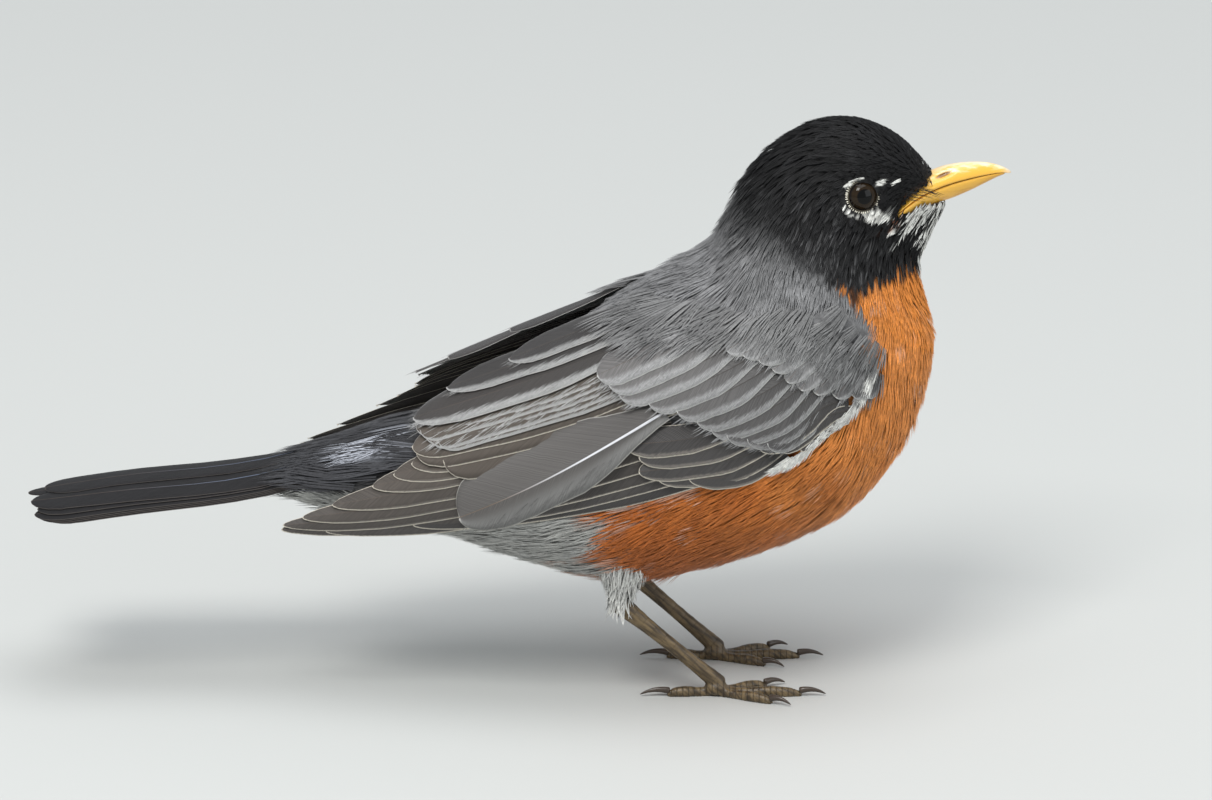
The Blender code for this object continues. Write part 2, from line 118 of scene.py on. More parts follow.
def line_values(table: Table, at: Array) -> Array:
    """One column of a two-column table, joined by straight lines."""
    rows = np.array(table, float)
    return np.interp(at, rows[:, 0], rows[:, 1])


def inside(outline: Table, at: Array) -> Array:
    """True for the pairs of parameters that lie inside a closed outline."""
    corners = np.array(outline)
    ahead = np.roll(corners, -1, axis=0)
    x, y = at[:, :1], at[:, 1:]
    spans = (corners[:, 1] > y) != (ahead[:, 1] > y)
    rise = np.where(ahead[:, 1] == corners[:, 1], 1, ahead[:, 1] - corners[:, 1])
    crossing = (ahead[:, 0] - corners[:, 0]) * (y - corners[:, 1]) / rise + corners[:, 0]
    return np.sum(spans & (x < crossing), axis=1) % 2 == 1


def waves(points: Array, scale: float, seed: int) -> Array:
    """Smooth noise from about -1 to 1 over points in millimetres.

    Args:
        points: positions.
        scale: rough size of the blotches.
        seed: picks the pattern.

    Returns:
        One value for each point.
    """
    rng = np.random.default_rng(seed)
    total = np.zeros(points.shape[:-1])
    for octave in range(6):
        direction = unit(rng.normal(size=3))
        pitch = 2 * math.pi / (scale * rng.uniform(0.55, 1.7))
        total += np.sin(points @ direction * pitch + rng.uniform(0, 6.28))
    return total / 3


# ---- sides and smooth forms


class Side(IntEnum):
    """A side of the bird, whose number is the sign of Y there."""

    RIGHT = -1
    LEFT = 1

    @property
    def word(self) -> str:
        """The side as the names of pieces say it."""
        return self.name.lower()


@dataclass(frozen=True)
class EyePlaces:
    """Where the left eye's centre is and where it looks; the right eye mirrors it."""

    centre: Row = (77.7, 8.8, 119.6)
    axis: Row = (0.25, 0.955, 0.15)

    def on(self, side: float | Array) -> tuple[Array, Array]:
        """Centre and direction of the eye on a side."""
        mirror = np.stack(np.broadcast_arrays(1, side, 1), axis=-1)
        return np.array(self.centre) * mirror, np.array(self.axis) * mirror


EYES = EyePlaces()


class Surface:
    """A smooth form, given by a grid of points over two parameters, in millimetres."""

    def __init__(self, u: Array, v: Array, points: Array, centres: Array, period: float = 0) -> None:
        """Keeps the grid with its normals and slopes.

        Args:
            u: rising values of the first parameter.
            v: rising values of the second parameter.
            points: a position for each pair of them.
            centres: points inside the form, level with each position.
            period: length after which the second one comes round, or 0.
        """
        self.u, self.v, self.period = u, v, period
        along = np.gradient(points, u, axis=0)
        around = np.gradient(points, v, axis=1)
        normals = unit(np.cross(along, around))
        facing = np.sum((points - centres) * normals, axis=-1, keepdims=True)
        normals = normals * np.where(facing < 0, -1, 1)
        self.fields = np.concatenate([points, normals, along, around], axis=-1)

    def sample(self, at: Array) -> tuple[Array, Array, Array, Array]:
        """Position, outward normal and the two slopes at pairs of parameters."""
        first, second = at[..., 0], at[..., 1]
        if self.period:
            second = np.mod(second, self.period)
        i = np.clip(np.searchsorted(self.u, first) - 1, 0, len(self.u) - 2)
        j = np.clip(np.searchsorted(self.v, second) - 1, 0, len(self.v) - 2)
        a = ((first - self.u[i]) / (self.u[i + 1] - self.u[i]))[..., None]
        b = ((second - self.v[j]) / (self.v[j + 1] - self.v[j]))[..., None]
        found = (self.fields[i, j] * (1 - a) + self.fields[i + 1, j] * a) * (1 - b)
        found += (self.fields[i, j + 1] * (1 - a) + self.fields[i + 1, j + 1] * a) * b
        return found[..., :3], unit(found[..., 3:6]), found[..., 6:9], found[..., 9:12]

    def move(self, at: Array, shift: Array) -> Array:
        """Shifts places along the form.

        Args:
            at: pairs of parameters.
            shift: small movement, near the tangent plane.

        Returns:
            The new pairs.
        """
        _, _, along, around = self.sample(at)
        aa = np.sum(along * along, axis=-1)
        ab = np.sum(along * around, axis=-1)
        bb = np.sum(around * around, axis=-1)
        da = np.sum(shift * along, axis=-1)
        db = np.sum(shift * around, axis=-1)
        scale = np.maximum(aa * bb - ab * ab, 1e-9)
        step = np.stack([(bb * da - ab * db) / scale, (aa * db - ab * da) / scale], axis=-1)
        return at + step

    def spread(self, low: Row, high: Row, spacing: float, rng: Draws) -> Array:
        """Scatters points evenly.

        Args:
            low: lowest pair of parameters.
            high: highest pair.
            spacing: least distance between two points.
            rng: source of the random draws.

        Returns:
            The pairs of parameters of the points.
        """
        tries = rng.uniform(low, high, size=(SCATTER_TRIES, 2))
        points, _, along, around = self.sample(tries)
        area = np.linalg.norm(np.cross(along, around), axis=-1)
        size = float(np.mean(area)) * (high[0] - low[0]) * (high[1] - low[1])
        wanted = int(min(5 * size / spacing**2, SCATTER_TRIES * np.mean(area) / area.max()))
        keep = rng.uniform(0, area.max(), len(area)) < area
        tries, points = tries[keep][:wanted], points[keep][:wanted]
        cells: dict[tuple[int, int, int], list[Array]] = {}
        chosen = []
        for index, point in enumerate(points):
            x, y, z = (int(c // spacing) for c in point)
            near = (cells.get((x + i, y + j, z + k), ()) for i in (-1, 0, 1) for j in (-1, 0, 1) for k in (-1, 0, 1))
            if all(sum((point - other) ** 2) > spacing**2 for cell in near for other in cell):
                cells.setdefault((x, y, z), []).append(point)
                chosen.append(index)
        return tries[chosen]


@dataclass(frozen=True)
class BodyForm:
    """Head, neck and trunk: upright ovals between the back line and the belly line."""

    # back x, back z, belly x, belly z, half width, lean of the width upward
    stations: Table = (
        (-59, 51.2, -59, 47.4, 4.5, 0.00), (-44, 56.4, -44, 42.6, 13.5, 0.00),
        (-22, 64, -22, 38.8, 20.8, 0.00), (0, 76, 0, 31, 26, -0.05), (20, 90.5, 22, 25.6, 29.5, -0.06),
        (33, 99, 42, 28.2, 31.5, -0.06), (41, 103.4, 63, 35.4, 32.4, -0.06),
        (45, 107.5, 79, 44.8, 31.2, -0.05), (47.6, 113, 90.5, 62, 27.4, 0.00),
        (51, 120, 95.1, 80.5, 21.8, 0.05), (56.5, 127, 92.6, 94.5, 16.6, 0.12),
        (64, 132.4, 91.9, 101.2, 13.3, 0.16), (71.5, 134.7, 93.6, 105.2, 11.5, 0.36),
        (79, 134.2, 95, 108.6, 9.5, 0.42), (86.5, 130.6, 96.6, 112, 7.3, 0.4),
        (92, 125.2, 97.8, 114.4, 5.3, 0.3), (94.3, 121.8, 98.2, 115.9, 4.2, 0.1),
    )
    samples: tuple[int, int] = (385, 289)

    @property
    def last(self) -> float:
        """Number of the last station, at the bill."""
        return len(self.stations) - 1

    def surface(self) -> Surface:
        """The form over station number and angle, which starts at the back and rises over the left side."""
        station = np.linspace(0, self.last, self.samples[0])
        angle = np.linspace(0, 360, self.samples[1])
        table = tuple((float(i), *row) for i, row in enumerate(self.stations))
        back_x, back_z, belly_x, belly_z, half_width, lean = curve(table, station).T[:, :, None]
        turn = np.radians(angle)[None, :]
        x = (back_x + belly_x) / 2 + (back_x - belly_x) / 2 * np.cos(turn)
        z = (back_z + belly_z) / 2 + (back_z - belly_z) / 2 * np.cos(turn)
        y = half_width * np.sin(turn) * (1 + lean * np.cos(turn))
        points = np.stack([x, y, z], axis=-1)
        centres = np.broadcast_to(points.mean(axis=1, keepdims=True), points.shape)
        return Surface(station, angle, points, centres, 360)


@dataclass(frozen=True)
class WingShell:
    """The smooth shell that a folded wing lies on: x, half width, half height, centre z."""

    side: Side
    stations: Table = (
        (-60, 22.8, 9, 43.4), (-40, 25, 15, 46), (-20, 27, 21, 50), (0, 29.5, 26, 55), (20, 32, 31.5, 60),
        (40, 33.8, 36.5, 64), (50, 33.4, 41, 65.5), (60, 32.3, 44, 69), (70, 29.6, 39, 76.5),
        (80, 24, 38, 76), (86, 18.6, 33, 77),
    )
    left_raise: Table = ((-60, 3.4), (-50, 3.4), (-20, 3), (0, 2.2), (15, 0.8), (30, 0))

    def surface(self) -> Surface:
        """The shell over x and the angle down the side from the middle of the back."""
        x = np.linspace(-60, 86, 293)
        angle = np.linspace(-25, 130, 187)
        half_width, half_height, centre_z = curve(self.stations, x).T[:, :, None]
        if self.side is Side.LEFT:
            centre_z = centre_z + curve(self.left_raise, x)
        turn = np.radians(angle)[None, :]
        z = centre_z + half_height * np.cos(turn)
        y = half_width * np.sin(turn) * self.side
        points = np.stack([np.broadcast_to(x[:, None], z.shape), y, z], axis=-1)
        centres = points.copy()
        centres[..., 1] = 0
        centres[..., 2] = centre_z
        return Surface(x, angle, points, centres)


# ---- meshes


def make_object(name: str, points: Array, quads: Array, triangles: Array, finish: Material) -> Piece:
    """A smoothly shaded mesh object from arrays.

    Args:
        name: name of the piece.
        points: vertex positions.
        quads: four vertex numbers for each face.
        triangles: three vertex numbers for each face.
        finish: its material.

    Returns:
        The new object, in the scene.
    """
    mesh = bpy.data.meshes.new(name)
    corners = np.concatenate([quads.ravel(), triangles.ravel()]).astype(np.int32)
    sizes = np.concatenate([np.full(len(quads), 4), np.full(len(triangles), 3)])
    starts = np.concatenate([[0], np.cumsum(sizes)[:-1]]).astype(np.int32)
    mesh.vertices.add(len(points))
    mesh.vertices.foreach_set("co", (points * MM).astype(np.float32).ravel())
    mesh.loops.add(len(corners))
    mesh.loops.foreach_set("vertex_index", corners)
    mesh.polygons.add(len(sizes))
    mesh.polygons.foreach_set("loop_start", starts)
    mesh.update(calc_edges=True)
    mesh.polygons.foreach_set("use_smooth", np.ones(len(sizes), bool))
    mesh.materials.append(finish)
    made = bpy.data.objects.new(name, mesh)
    bpy.context.scene.collection.objects.link(made)
    return made


def set_colours(piece: Piece, name: str, colours: Array) -> None:
    """Stores a colour for each vertex under a name."""
    layer = piece.data.color_attributes.new(name=name, type="FLOAT_COLOR", domain="POINT")
    filled = np.ones((len(colours), 4), np.float32)
    filled[:, : colours.shape[1]] = colours
    layer.data.foreach_set("color", filled.ravel())


def set_vectors(piece: Piece, name: str, vectors: Array) -> None:
    """Stores a vector for each vertex under a name."""
    layer = piece.data.attributes.new(name=name, type="FLOAT_VECTOR", domain="POINT")
    layer.data.foreach_set("vector", vectors.astype(np.float32).ravel())


def set_map(piece: Piece, name: str, places: Array) -> None:
    """Makes a UV map from a place for each vertex."""
    layer = piece.data.uv_layers.new(name=name)
    corners = np.empty(len(piece.data.loops), np.int32)
    piece.data.loops.foreach_get("vertex_index", corners)
    layer.data.foreach_set("uv", places[corners].astype(np.float32).ravel())


def deselect() -> None:
    """Leaves object mode with nothing selected."""
    if bpy.context.object is not None and bpy.context.object.mode != "OBJECT":
        mode("OBJECT")
    for other in bpy.context.selected_objects:
        other.select_set(False)


def only(piece: Piece) -> Piece:
    """Makes a piece the only selected and active one."""
    deselect()
    piece.hide_set(False)
    piece.select_set(True)
    bpy.context.view_layer.objects.active = piece
    return piece


def mode(name: str) -> None:
    """Enters edit mode or object mode."""
    bpy.ops.object.mode_set(mode=name)


def join(parts: list[Piece]) -> Piece:
    """Joins pieces into the first of them."""
    only(parts[0])
    for part in parts:
        part.select_set(True)
    bpy.ops.object.join()
    return bpy.context.object


def apply_modifier(piece: Piece, kind: str, **settings: object) -> None:
    """Adds a modifier with its settings and applies it."""
    only(piece)
    modifier = piece.modifiers.new(kind.title(), kind)
    for key, value in settings.items():
        setattr(modifier, key, value)
    bpy.ops.object.modifier_apply(modifier=modifier.name)


def settle(piece: Piece, name: str, finish: Material) -> Piece:
    """Names a finished piece, puts its place into its mesh and gives it its material."""
    only(piece)
    bpy.ops.object.transform_apply(location=True, rotation=True, scale=True)
    bpy.ops.object.shade_smooth()
    piece.name = name
    piece.data.name = name
    piece.data.materials.clear()
    piece.data.materials.append(finish)
    return piece


def extruded(name: str, sections: list[Array], finish: Material, rounding: int = 1) -> Piece:
    """A closed piece drawn out ring by ring from a circle, and capped at both ends.

    Args:
        name: name of the piece.
        sections: rings of equal count, from the first end to the last.
        finish: its material.
        rounding: levels of subdivision.

    Returns:
        The finished object.
    """
    deselect()
    count = len(sections[0])
    bpy.ops.mesh.primitive_circle_add(vertices=count, radius=MM, fill_type="NGON")
    piece = bpy.context.object
    mode("EDIT")
    shape = bmesh.from_edit_mesh(piece.data)
    shape.verts.ensure_lookup_table()
    for vert, place in zip(shape.verts, sections[0]):
        vert.co = Vector(place) * MM
    bmesh.update_edit_mesh(piece.data)
    for before, section in zip(sections, sections[1:]):
        bpy.ops.mesh.extrude_region_move()
        shape = bmesh.from_edit_mesh(piece.data)
        moved = [vert for vert in shape.verts if vert.select]
        old = np.array([vert.co for vert in moved]) / MM
        for vert, place in zip(moved, old):
            nearest = int(np.argmin(np.sum((before - place) ** 2, axis=-1)))
            vert.co = Vector(section[nearest]) * MM
        bmesh.update_edit_mesh(piece.data)
    bpy.ops.mesh.select_all(action="SELECT")
    bpy.ops.mesh.normals_make_consistent(inside=False)
    mode("OBJECT")
    if rounding:
        apply_modifier(piece, "SUBSURF", levels=rounding, render_levels=rounding)
    return settle(piece, name, finish)


def tube_sections(path: Array, radii: Array, sides: int, flat: float = 1) -> list[Array]:
    """Rings round a path, square to it.

    Args:
        path: points of the centre line.
        radii: radius at each point.
        sides: points in a ring.
        flat: height of a ring as a share of its width.

    Returns:
        The rings.
    """
    ahead = unit(np.gradient(path, axis=0))
    aside = unit(np.cross(ahead, np.array([0, 0, 1]) + ahead * 1e-3))
    above = np.cross(aside, ahead)
    turn = np.linspace(0, 2 * math.pi, sides, endpoint=False)
    rings = []
    for i, centre in enumerate(path):
        ring = np.cos(turn)[:, None] * aside[i] + np.sin(turn)[:, None] * above[i] * flat
        rings.append(centre + ring * radii[i])
    return rings


# ---- finishes


class Value:
    """A result of a material's nodes, which can stand in sums."""

    def __init__(self, graph: Graph, socket: Socket) -> None:
        """Keeps the result with its graph."""
        self.graph, self.socket = graph, socket

    def __add__(self, other: Term) -> Value:
        """The sum."""
        return self.graph.math("ADD", self, other)

    def __sub__(self, other: Term) -> Value:
        """The difference."""
        return self.graph.math("SUBTRACT", self, other)

    def __rsub__(self, other: Term) -> Value:
        """A number less this value."""
        return self.graph.math("SUBTRACT", other, self)

    def __mul__(self, other: Term) -> Value:
        """The product."""
        return self.graph.math("MULTIPLY", self, other)

    def __truediv__(self, other: Term) -> Value:
        """The quotient."""
        return self.graph.math("DIVIDE", self, other)


Term = Value | float | Row


class Graph:
    """A short way to write a material's nodes."""

    def __init__(self, name: str, **constants: float) -> None:
        """Starts a material with one shader, whose constant inputs are set on its own sockets."""
        self.material = bpy.data.materials.new(name)
        self.material.use_nodes = True
        self.tree = self.material.node_tree
        self.shader = self.tree.nodes["Principled BSDF"]
        for key, value in constants.items():
            self.put(value, self.shader.inputs[key.replace("_", " ")])

    def put(self, value: Term, socket: Socket) -> None:
        """Links a value to an input, or sets the input to a constant."""
        if isinstance(value, Value):
            self.tree.links.new(value.socket, socket)
        else:
            socket.default_value = (*value, 1) if socket.type == "RGBA" else value

    def add(
        self, kind: str, inputs: dict[int | str, Term] | None = None, output: int | str = 0, **settings: object
    ) -> Value:
        """Adds a node.

        Args:
            kind: the node's type.
            inputs: what its inputs are linked or set to.
            output: which output is wanted.
            settings: the node's own settings.

        Returns:
            The output.
        """
        node = self.tree.nodes.new("ShaderNode" + kind)
        for key, value in settings.items():
            setattr(node, key, value)
        for key, value in (inputs or {}).items():
            self.put(value, node.inputs[key])
        return Value(self, node.outputs[output])

    def parts(self, vector: Value) -> list[Value]:
        """The three parts of a vector."""
        node = self.add("SeparateXYZ", {0: vector}).socket.node
        return [Value(self, output) for output in node.outputs]

    def math(self, operation: str, *terms: Term) -> Value:
        """Result of a math node."""
        return self.add("Math", dict(enumerate(terms)), operation=operation)

    def vector(self, operation: str, *terms: Term, output: int | str = 0) -> Value:
        """Result of a vector math node."""
        return self.add("VectorMath", dict(enumerate(terms)), output, operation=operation)

    def tint(self) -> Value:
        """The piece's own colours."""
        return self.add("Attribute", output="Color", attribute_name="tint")

    def measure(self, name: str) -> Value:
        """One of the piece's own measures."""
        return self.add("Attribute", output="Vector", attribute_name=name)

    def place(self) -> Value:
        """Object coordinates, in metres."""
        return self.add("TexCoord", output="Object")

    def noise(self, where: Value, scale: float, detail: float) -> Value:
        """Soft noise from 0 to 1."""
        return self.add("TexNoise", {"Vector": where, "Scale": scale, "Detail": detail})

    def range(self, value: Value, low: float, high: float, start: float, end: float) -> Value:
        """A value carried smoothly from one range to another."""
        inputs = {"Value": value, 1: low, 2: high, 3: start, 4: end}
        return self.add("MapRange", inputs, interpolation_type="SMOOTHSTEP")

    def mix(self, share: Value, first: Term, second: Term) -> Value:
        """Two colours mixed by a share."""
        return self.add("Mix", {0: share, 6: first, 7: second}, 2, data_type="RGBA")

    def scaled(self, colour: Term, amount: Value) -> Value:
        """A colour made lighter or darker by a factor."""
        return self.add("VectorMath", {0: colour, "Scale": amount}, operation="SCALE")

    def bump(self, height: Value, depth: float) -> None:
        """Dents the surface by a height from 0 to 1, at most by a depth in metres."""
        dents = self.add("Bump", {"Height": height, "Distance": depth, "Strength": 1})
        self.put(dents, self.shader.inputs["Normal"])

    def colour(self, value: Value) -> Material:
        """Sets the base colour and returns the material."""
        self.put(value, self.shader.inputs["Base Color"])
        return self.material


@dataclass(frozen=True)
class TuftFinish:
    """Soft small feathers, coloured by the piece's own markings."""

    name: str
    roughness: float = 0.72
    sheen: float = 0.15
    gloss: float = 0.3

    def build(self) -> Material:
        """The material, with fine uneven strands in its colour."""
        graph = Graph(
            self.name, Roughness=self.roughness, Sheen_Weight=self.sheen, Sheen_Roughness=0.5,
            Specular_IOR_Level=self.gloss,
        )
        amount = graph.range(graph.noise(graph.place(), 1500, 4), 0.25, 0.75, 0.82, 1.18)
        return graph.colour(graph.scaled(graph.tint(), amount))


@dataclass(frozen=True)
class SkinFinish:
    """Skin and down under the feathers, with the same markings as the coat."""

    name: str

    def build(self) -> Material:
        """The material, darker and rougher than the coat over it."""
        graph = Graph(self.name, Roughness=0.85)
        grain = graph.noise(graph.place(), 900, 4)
        graph.bump(grain, 0.0002)
        return graph.colour(graph.scaled(graph.tint(), graph.range(grain, 0.2, 0.8, 0.45, 0.9)))


@dataclass(frozen=True)
class VaneFinish:
    """A quill feather: barbs, a shaft, a pale lower web and a paler rim, sized in millimetres."""

    name: str
    pale: Row = (0.3, 0.3, 0.295)
    rim: Row = (0.46, 0.45, 0.43)
    rim_width: float = 0.3
    shaft: Row = (0.045, 0.04, 0.036)
    shaft_tip: Row = (0.1, 0.075, 0.06)
    shaft_width: float = 0.18
    barb_pitch: float = 0.55
    barb_depth: float = 0.16
    roughness: float = 0.55
    sheen: float = 0.1
    gloss: float = 0.3
    relief: float = 0.00007

    def build(self) -> Material:
        """The material, which reads the vane's own measures."""
        graph = Graph(
            self.name, Roughness=self.roughness, Sheen_Weight=self.sheen, Sheen_Roughness=0.4,
            Specular_IOR_Level=self.gloss,
        )
        place = graph.measure("vane")
        across, along, number = graph.parts(place)
        to_lower, to_upper, to_tip = graph.parts(graph.measure("margin"))
        web, web_strength, rim_strength = graph.parts(graph.measure("web"))
        away = graph.math("ABSOLUTE", across)
        barb = along - away * 1.3 + graph.noise(place, 0.35, 2) * 0.9
        wave = graph.math("SINE", barb * (2 * math.pi / self.barb_pitch))
        streak = graph.noise(graph.add("CombineXYZ", {0: barb * 2.4, 2: number}), 1, 3)
        frayed = (streak - 0.5) * 1.6
        share = (to_lower + frayed * web) / graph.math("MAXIMUM", web, 0.01)
        share = graph.range(share, 0.55, 1.15, 1, 0) * web_strength
        colour = graph.mix(share, graph.tint(), self.pale)
        level = wave * ((share + 0.45) * self.barb_depth) + 1
        colour = graph.scaled(colour, level + graph.range(streak, 0.3, 0.7, -0.22, 0.22))
        edge = graph.math("MINIMUM", to_lower, to_tip * 0.9)
        edge = graph.math("MINIMUM", edge, to_upper * 1.7) + frayed * self.rim_width
        share = graph.range(edge, self.rim_width * 0.35, self.rim_width * 1.2, 0.85, 0)
        colour = graph.mix(share * rim_strength, colour, self.rim)
        slim = to_tip / (along + to_tip) * 0.75 + 0.25
        on_shaft = graph.range(away / slim, self.shaft_width * 0.6, self.shaft_width, 0.85, 0)
        shaft = graph.mix(graph.range(slim, 0.35, 0.75, 0, 1), self.shaft_tip, self.shaft)
        graph.bump(wave * 0.3 + streak * 0.6, self.relief)
        return graph.colour(graph.mix(on_shaft, colour, shaft))


class Look(Enum):
    """The finishes of the quill feathers."""

    QUILL = VaneFinish("wing_quills", (0.22, 0.2, 0.18), (0.68, 0.63, 0.53), 0.29)
    SECONDARY = VaneFinish("wing_secondaries", (0.36, 0.36, 0.355), (0.5, 0.49, 0.47))
    COVERT = VaneFinish("wing_coverts", (0.3, 0.3, 0.3), (0.48, 0.48, 0.46))
    LOOSE = VaneFinish(
        "loose_feather", (0.19, 0.19, 0.185), (0.4, 0.39, 0.36), 0.3, (0.78, 0.79, 0.83), (0.16, 0.12, 0.09),
        0.36, barb_pitch=0.38, barb_depth=0.05, relief=0.00003,
    )
    # painted reflection: the tail's shafts are coloured pale blue on their root part, as a glint of the sky along
    # each shaft
    TAIL = VaneFinish(
        "tail_feathers", (0.03, 0.03, 0.033), (0.085, 0.075, 0.068), 0.3, (0.16, 0.2, 0.29),
        shaft_width=0.3, sheen=0, gloss=0.12,
    )


@dataclass(frozen=True)
class HornFinish:
    """Smooth horn or bare skin of one colour."""

    name: str
    colour: Row
    roughness: float
    mottle: float = 0.12
    grain: float = 700
    depth: float = 0.00003

    def build(self) -> Material:
        """The material, with soft mottling and a fine grain."""
        graph = Graph(self.name, Roughness=self.roughness, Coat_Roughness=0.15)
        place = graph.place()
        broad = graph.noise(place, self.grain * 0.25, 3)
        graph.bump(graph.noise(place, self.grain, 4), self.depth)
        level = graph.range(broad, 0.25, 0.75, 1 - self.mottle, 1 + self.mottle)
        return graph.colour(graph.scaled(self.colour, level))


@dataclass(frozen=True)
class LegFinish:
    """Horny skin: long streaks down the shank and scutes across the toes."""

    name: str
    pale: Row = (0.165, 0.115, 0.055)
    dark: Row = (0.04, 0.026, 0.012)
    lean: Row = (0.75, 0.66)
    shank_scute: float = 3.1
    toe_scute: float = 1.35
    groove: float = 0.2
    toe_top: float = 3.2

    def build(self) -> Material:
        """The material, drawn along the lean of the shank and along the toes."""
        graph = Graph(self.name, Roughness=0.45)
        x, y, z = graph.parts(graph.place())
        run, fall = self.lean
        down, ahead = x * run - z * fall, x * fall + z * run
        streaks = graph.noise(graph.add("CombineXYZ", {0: down * 0.14, 1: y, 2: ahead}), 1300, 4)
        colour = graph.mix(graph.range(streaks, 0.32, 0.7, 0, 1), self.dark, self.pale)
        on_toe = graph.range(z, self.toe_top * MM, self.toe_top * MM * 1.3, 1, 0)
        on_shank = self.grooves(graph, down, self.shank_scute) * (1 - on_toe)
        lines = self.grooves(graph, x, self.toe_scute) * on_toe + on_shank * 0.35
        graph.bump(streaks * 0.4 - lines, 0.0001)
        return graph.colour(graph.scaled(colour, 1 - lines * 0.5))

    def grooves(self, graph: Graph, where: Value, pitch: float) -> Value:
        """Lines between scutes that follow each other at a pitch."""
        away = graph.math("PINGPONG", where, pitch / 2 * MM)
        return graph.range(away, 0, self.groove * MM, 1, 0)


@dataclass(frozen=True)
class EyeFinish:
    """A wet eye: round pupil, dark brown iris, and a dark rim."""

    name: str
    centre: Row
    axis: Row
    pupil: float = 1.75
    iris: float = 3.2

    def build(self) -> Material:
        """The material, drawn by the distance from the eye's axis."""
        graph = Graph(self.name, Roughness=0.03, Specular_IOR_Level=0.2)
        away = graph.vector("SUBTRACT", graph.place(), tuple(Vector(self.centre) * MM))
        across = graph.vector("CROSS_PRODUCT", away, tuple(Vector(self.axis).normalized()))
        distance = graph.vector("LENGTH", across, output="Value") * (1 / MM)
        spokes = graph.noise(graph.vector("NORMALIZE", across), 7, 3)
        brown = graph.mix(spokes, (0.01, 0.006, 0.003), (0.026, 0.016, 0.007))
        outside = graph.range(distance, self.pupil - 0.1, self.pupil + 0.1, 0, 1)
        colour = graph.mix(outside, (0.001, 0.001, 0.001), brown)
        rim = graph.range(distance, self.iris - 0.5, self.iris, 0, 1)
        return graph.colour(graph.mix(rim, colour, (0.004, 0.003, 0.003)))


@dataclass(frozen=True)
class FloorFinish:
    """A plain pale studio floor."""

    name: str
    colour: Row = (0.52, 0.53, 0.515)

    def build(self) -> Material:
        """The material, with a barely visible unevenness."""
        graph = Graph(self.name, Roughness=0.8)
        low = tuple(c * 0.985 for c in self.colour)
        return graph.colour(graph.mix(graph.noise(graph.place(), 3, 2), low, self.colour))


# ---- markings


class Tone(Enum):
    """Base colours of the plumage, as linear red, green and blue."""

    BLACK = (0.0095, 0.0095, 0.01)
    SLATE = (0.185, 0.185, 0.188)
    ORANGE = (0.7, 0.245, 0.05)
    RUST = (0.42, 0.11, 0.014)
    WHITE = (0.74, 0.74, 0.7)
    SMOKE = (0.3, 0.3, 0.3)
    SPOT = (0.06, 0.025, 0.012)
    GAPE = (0.34, 0.13, 0.07)

    def rgb(self) -> Array:
        """The colour as an array."""
        return np.array(self.value)


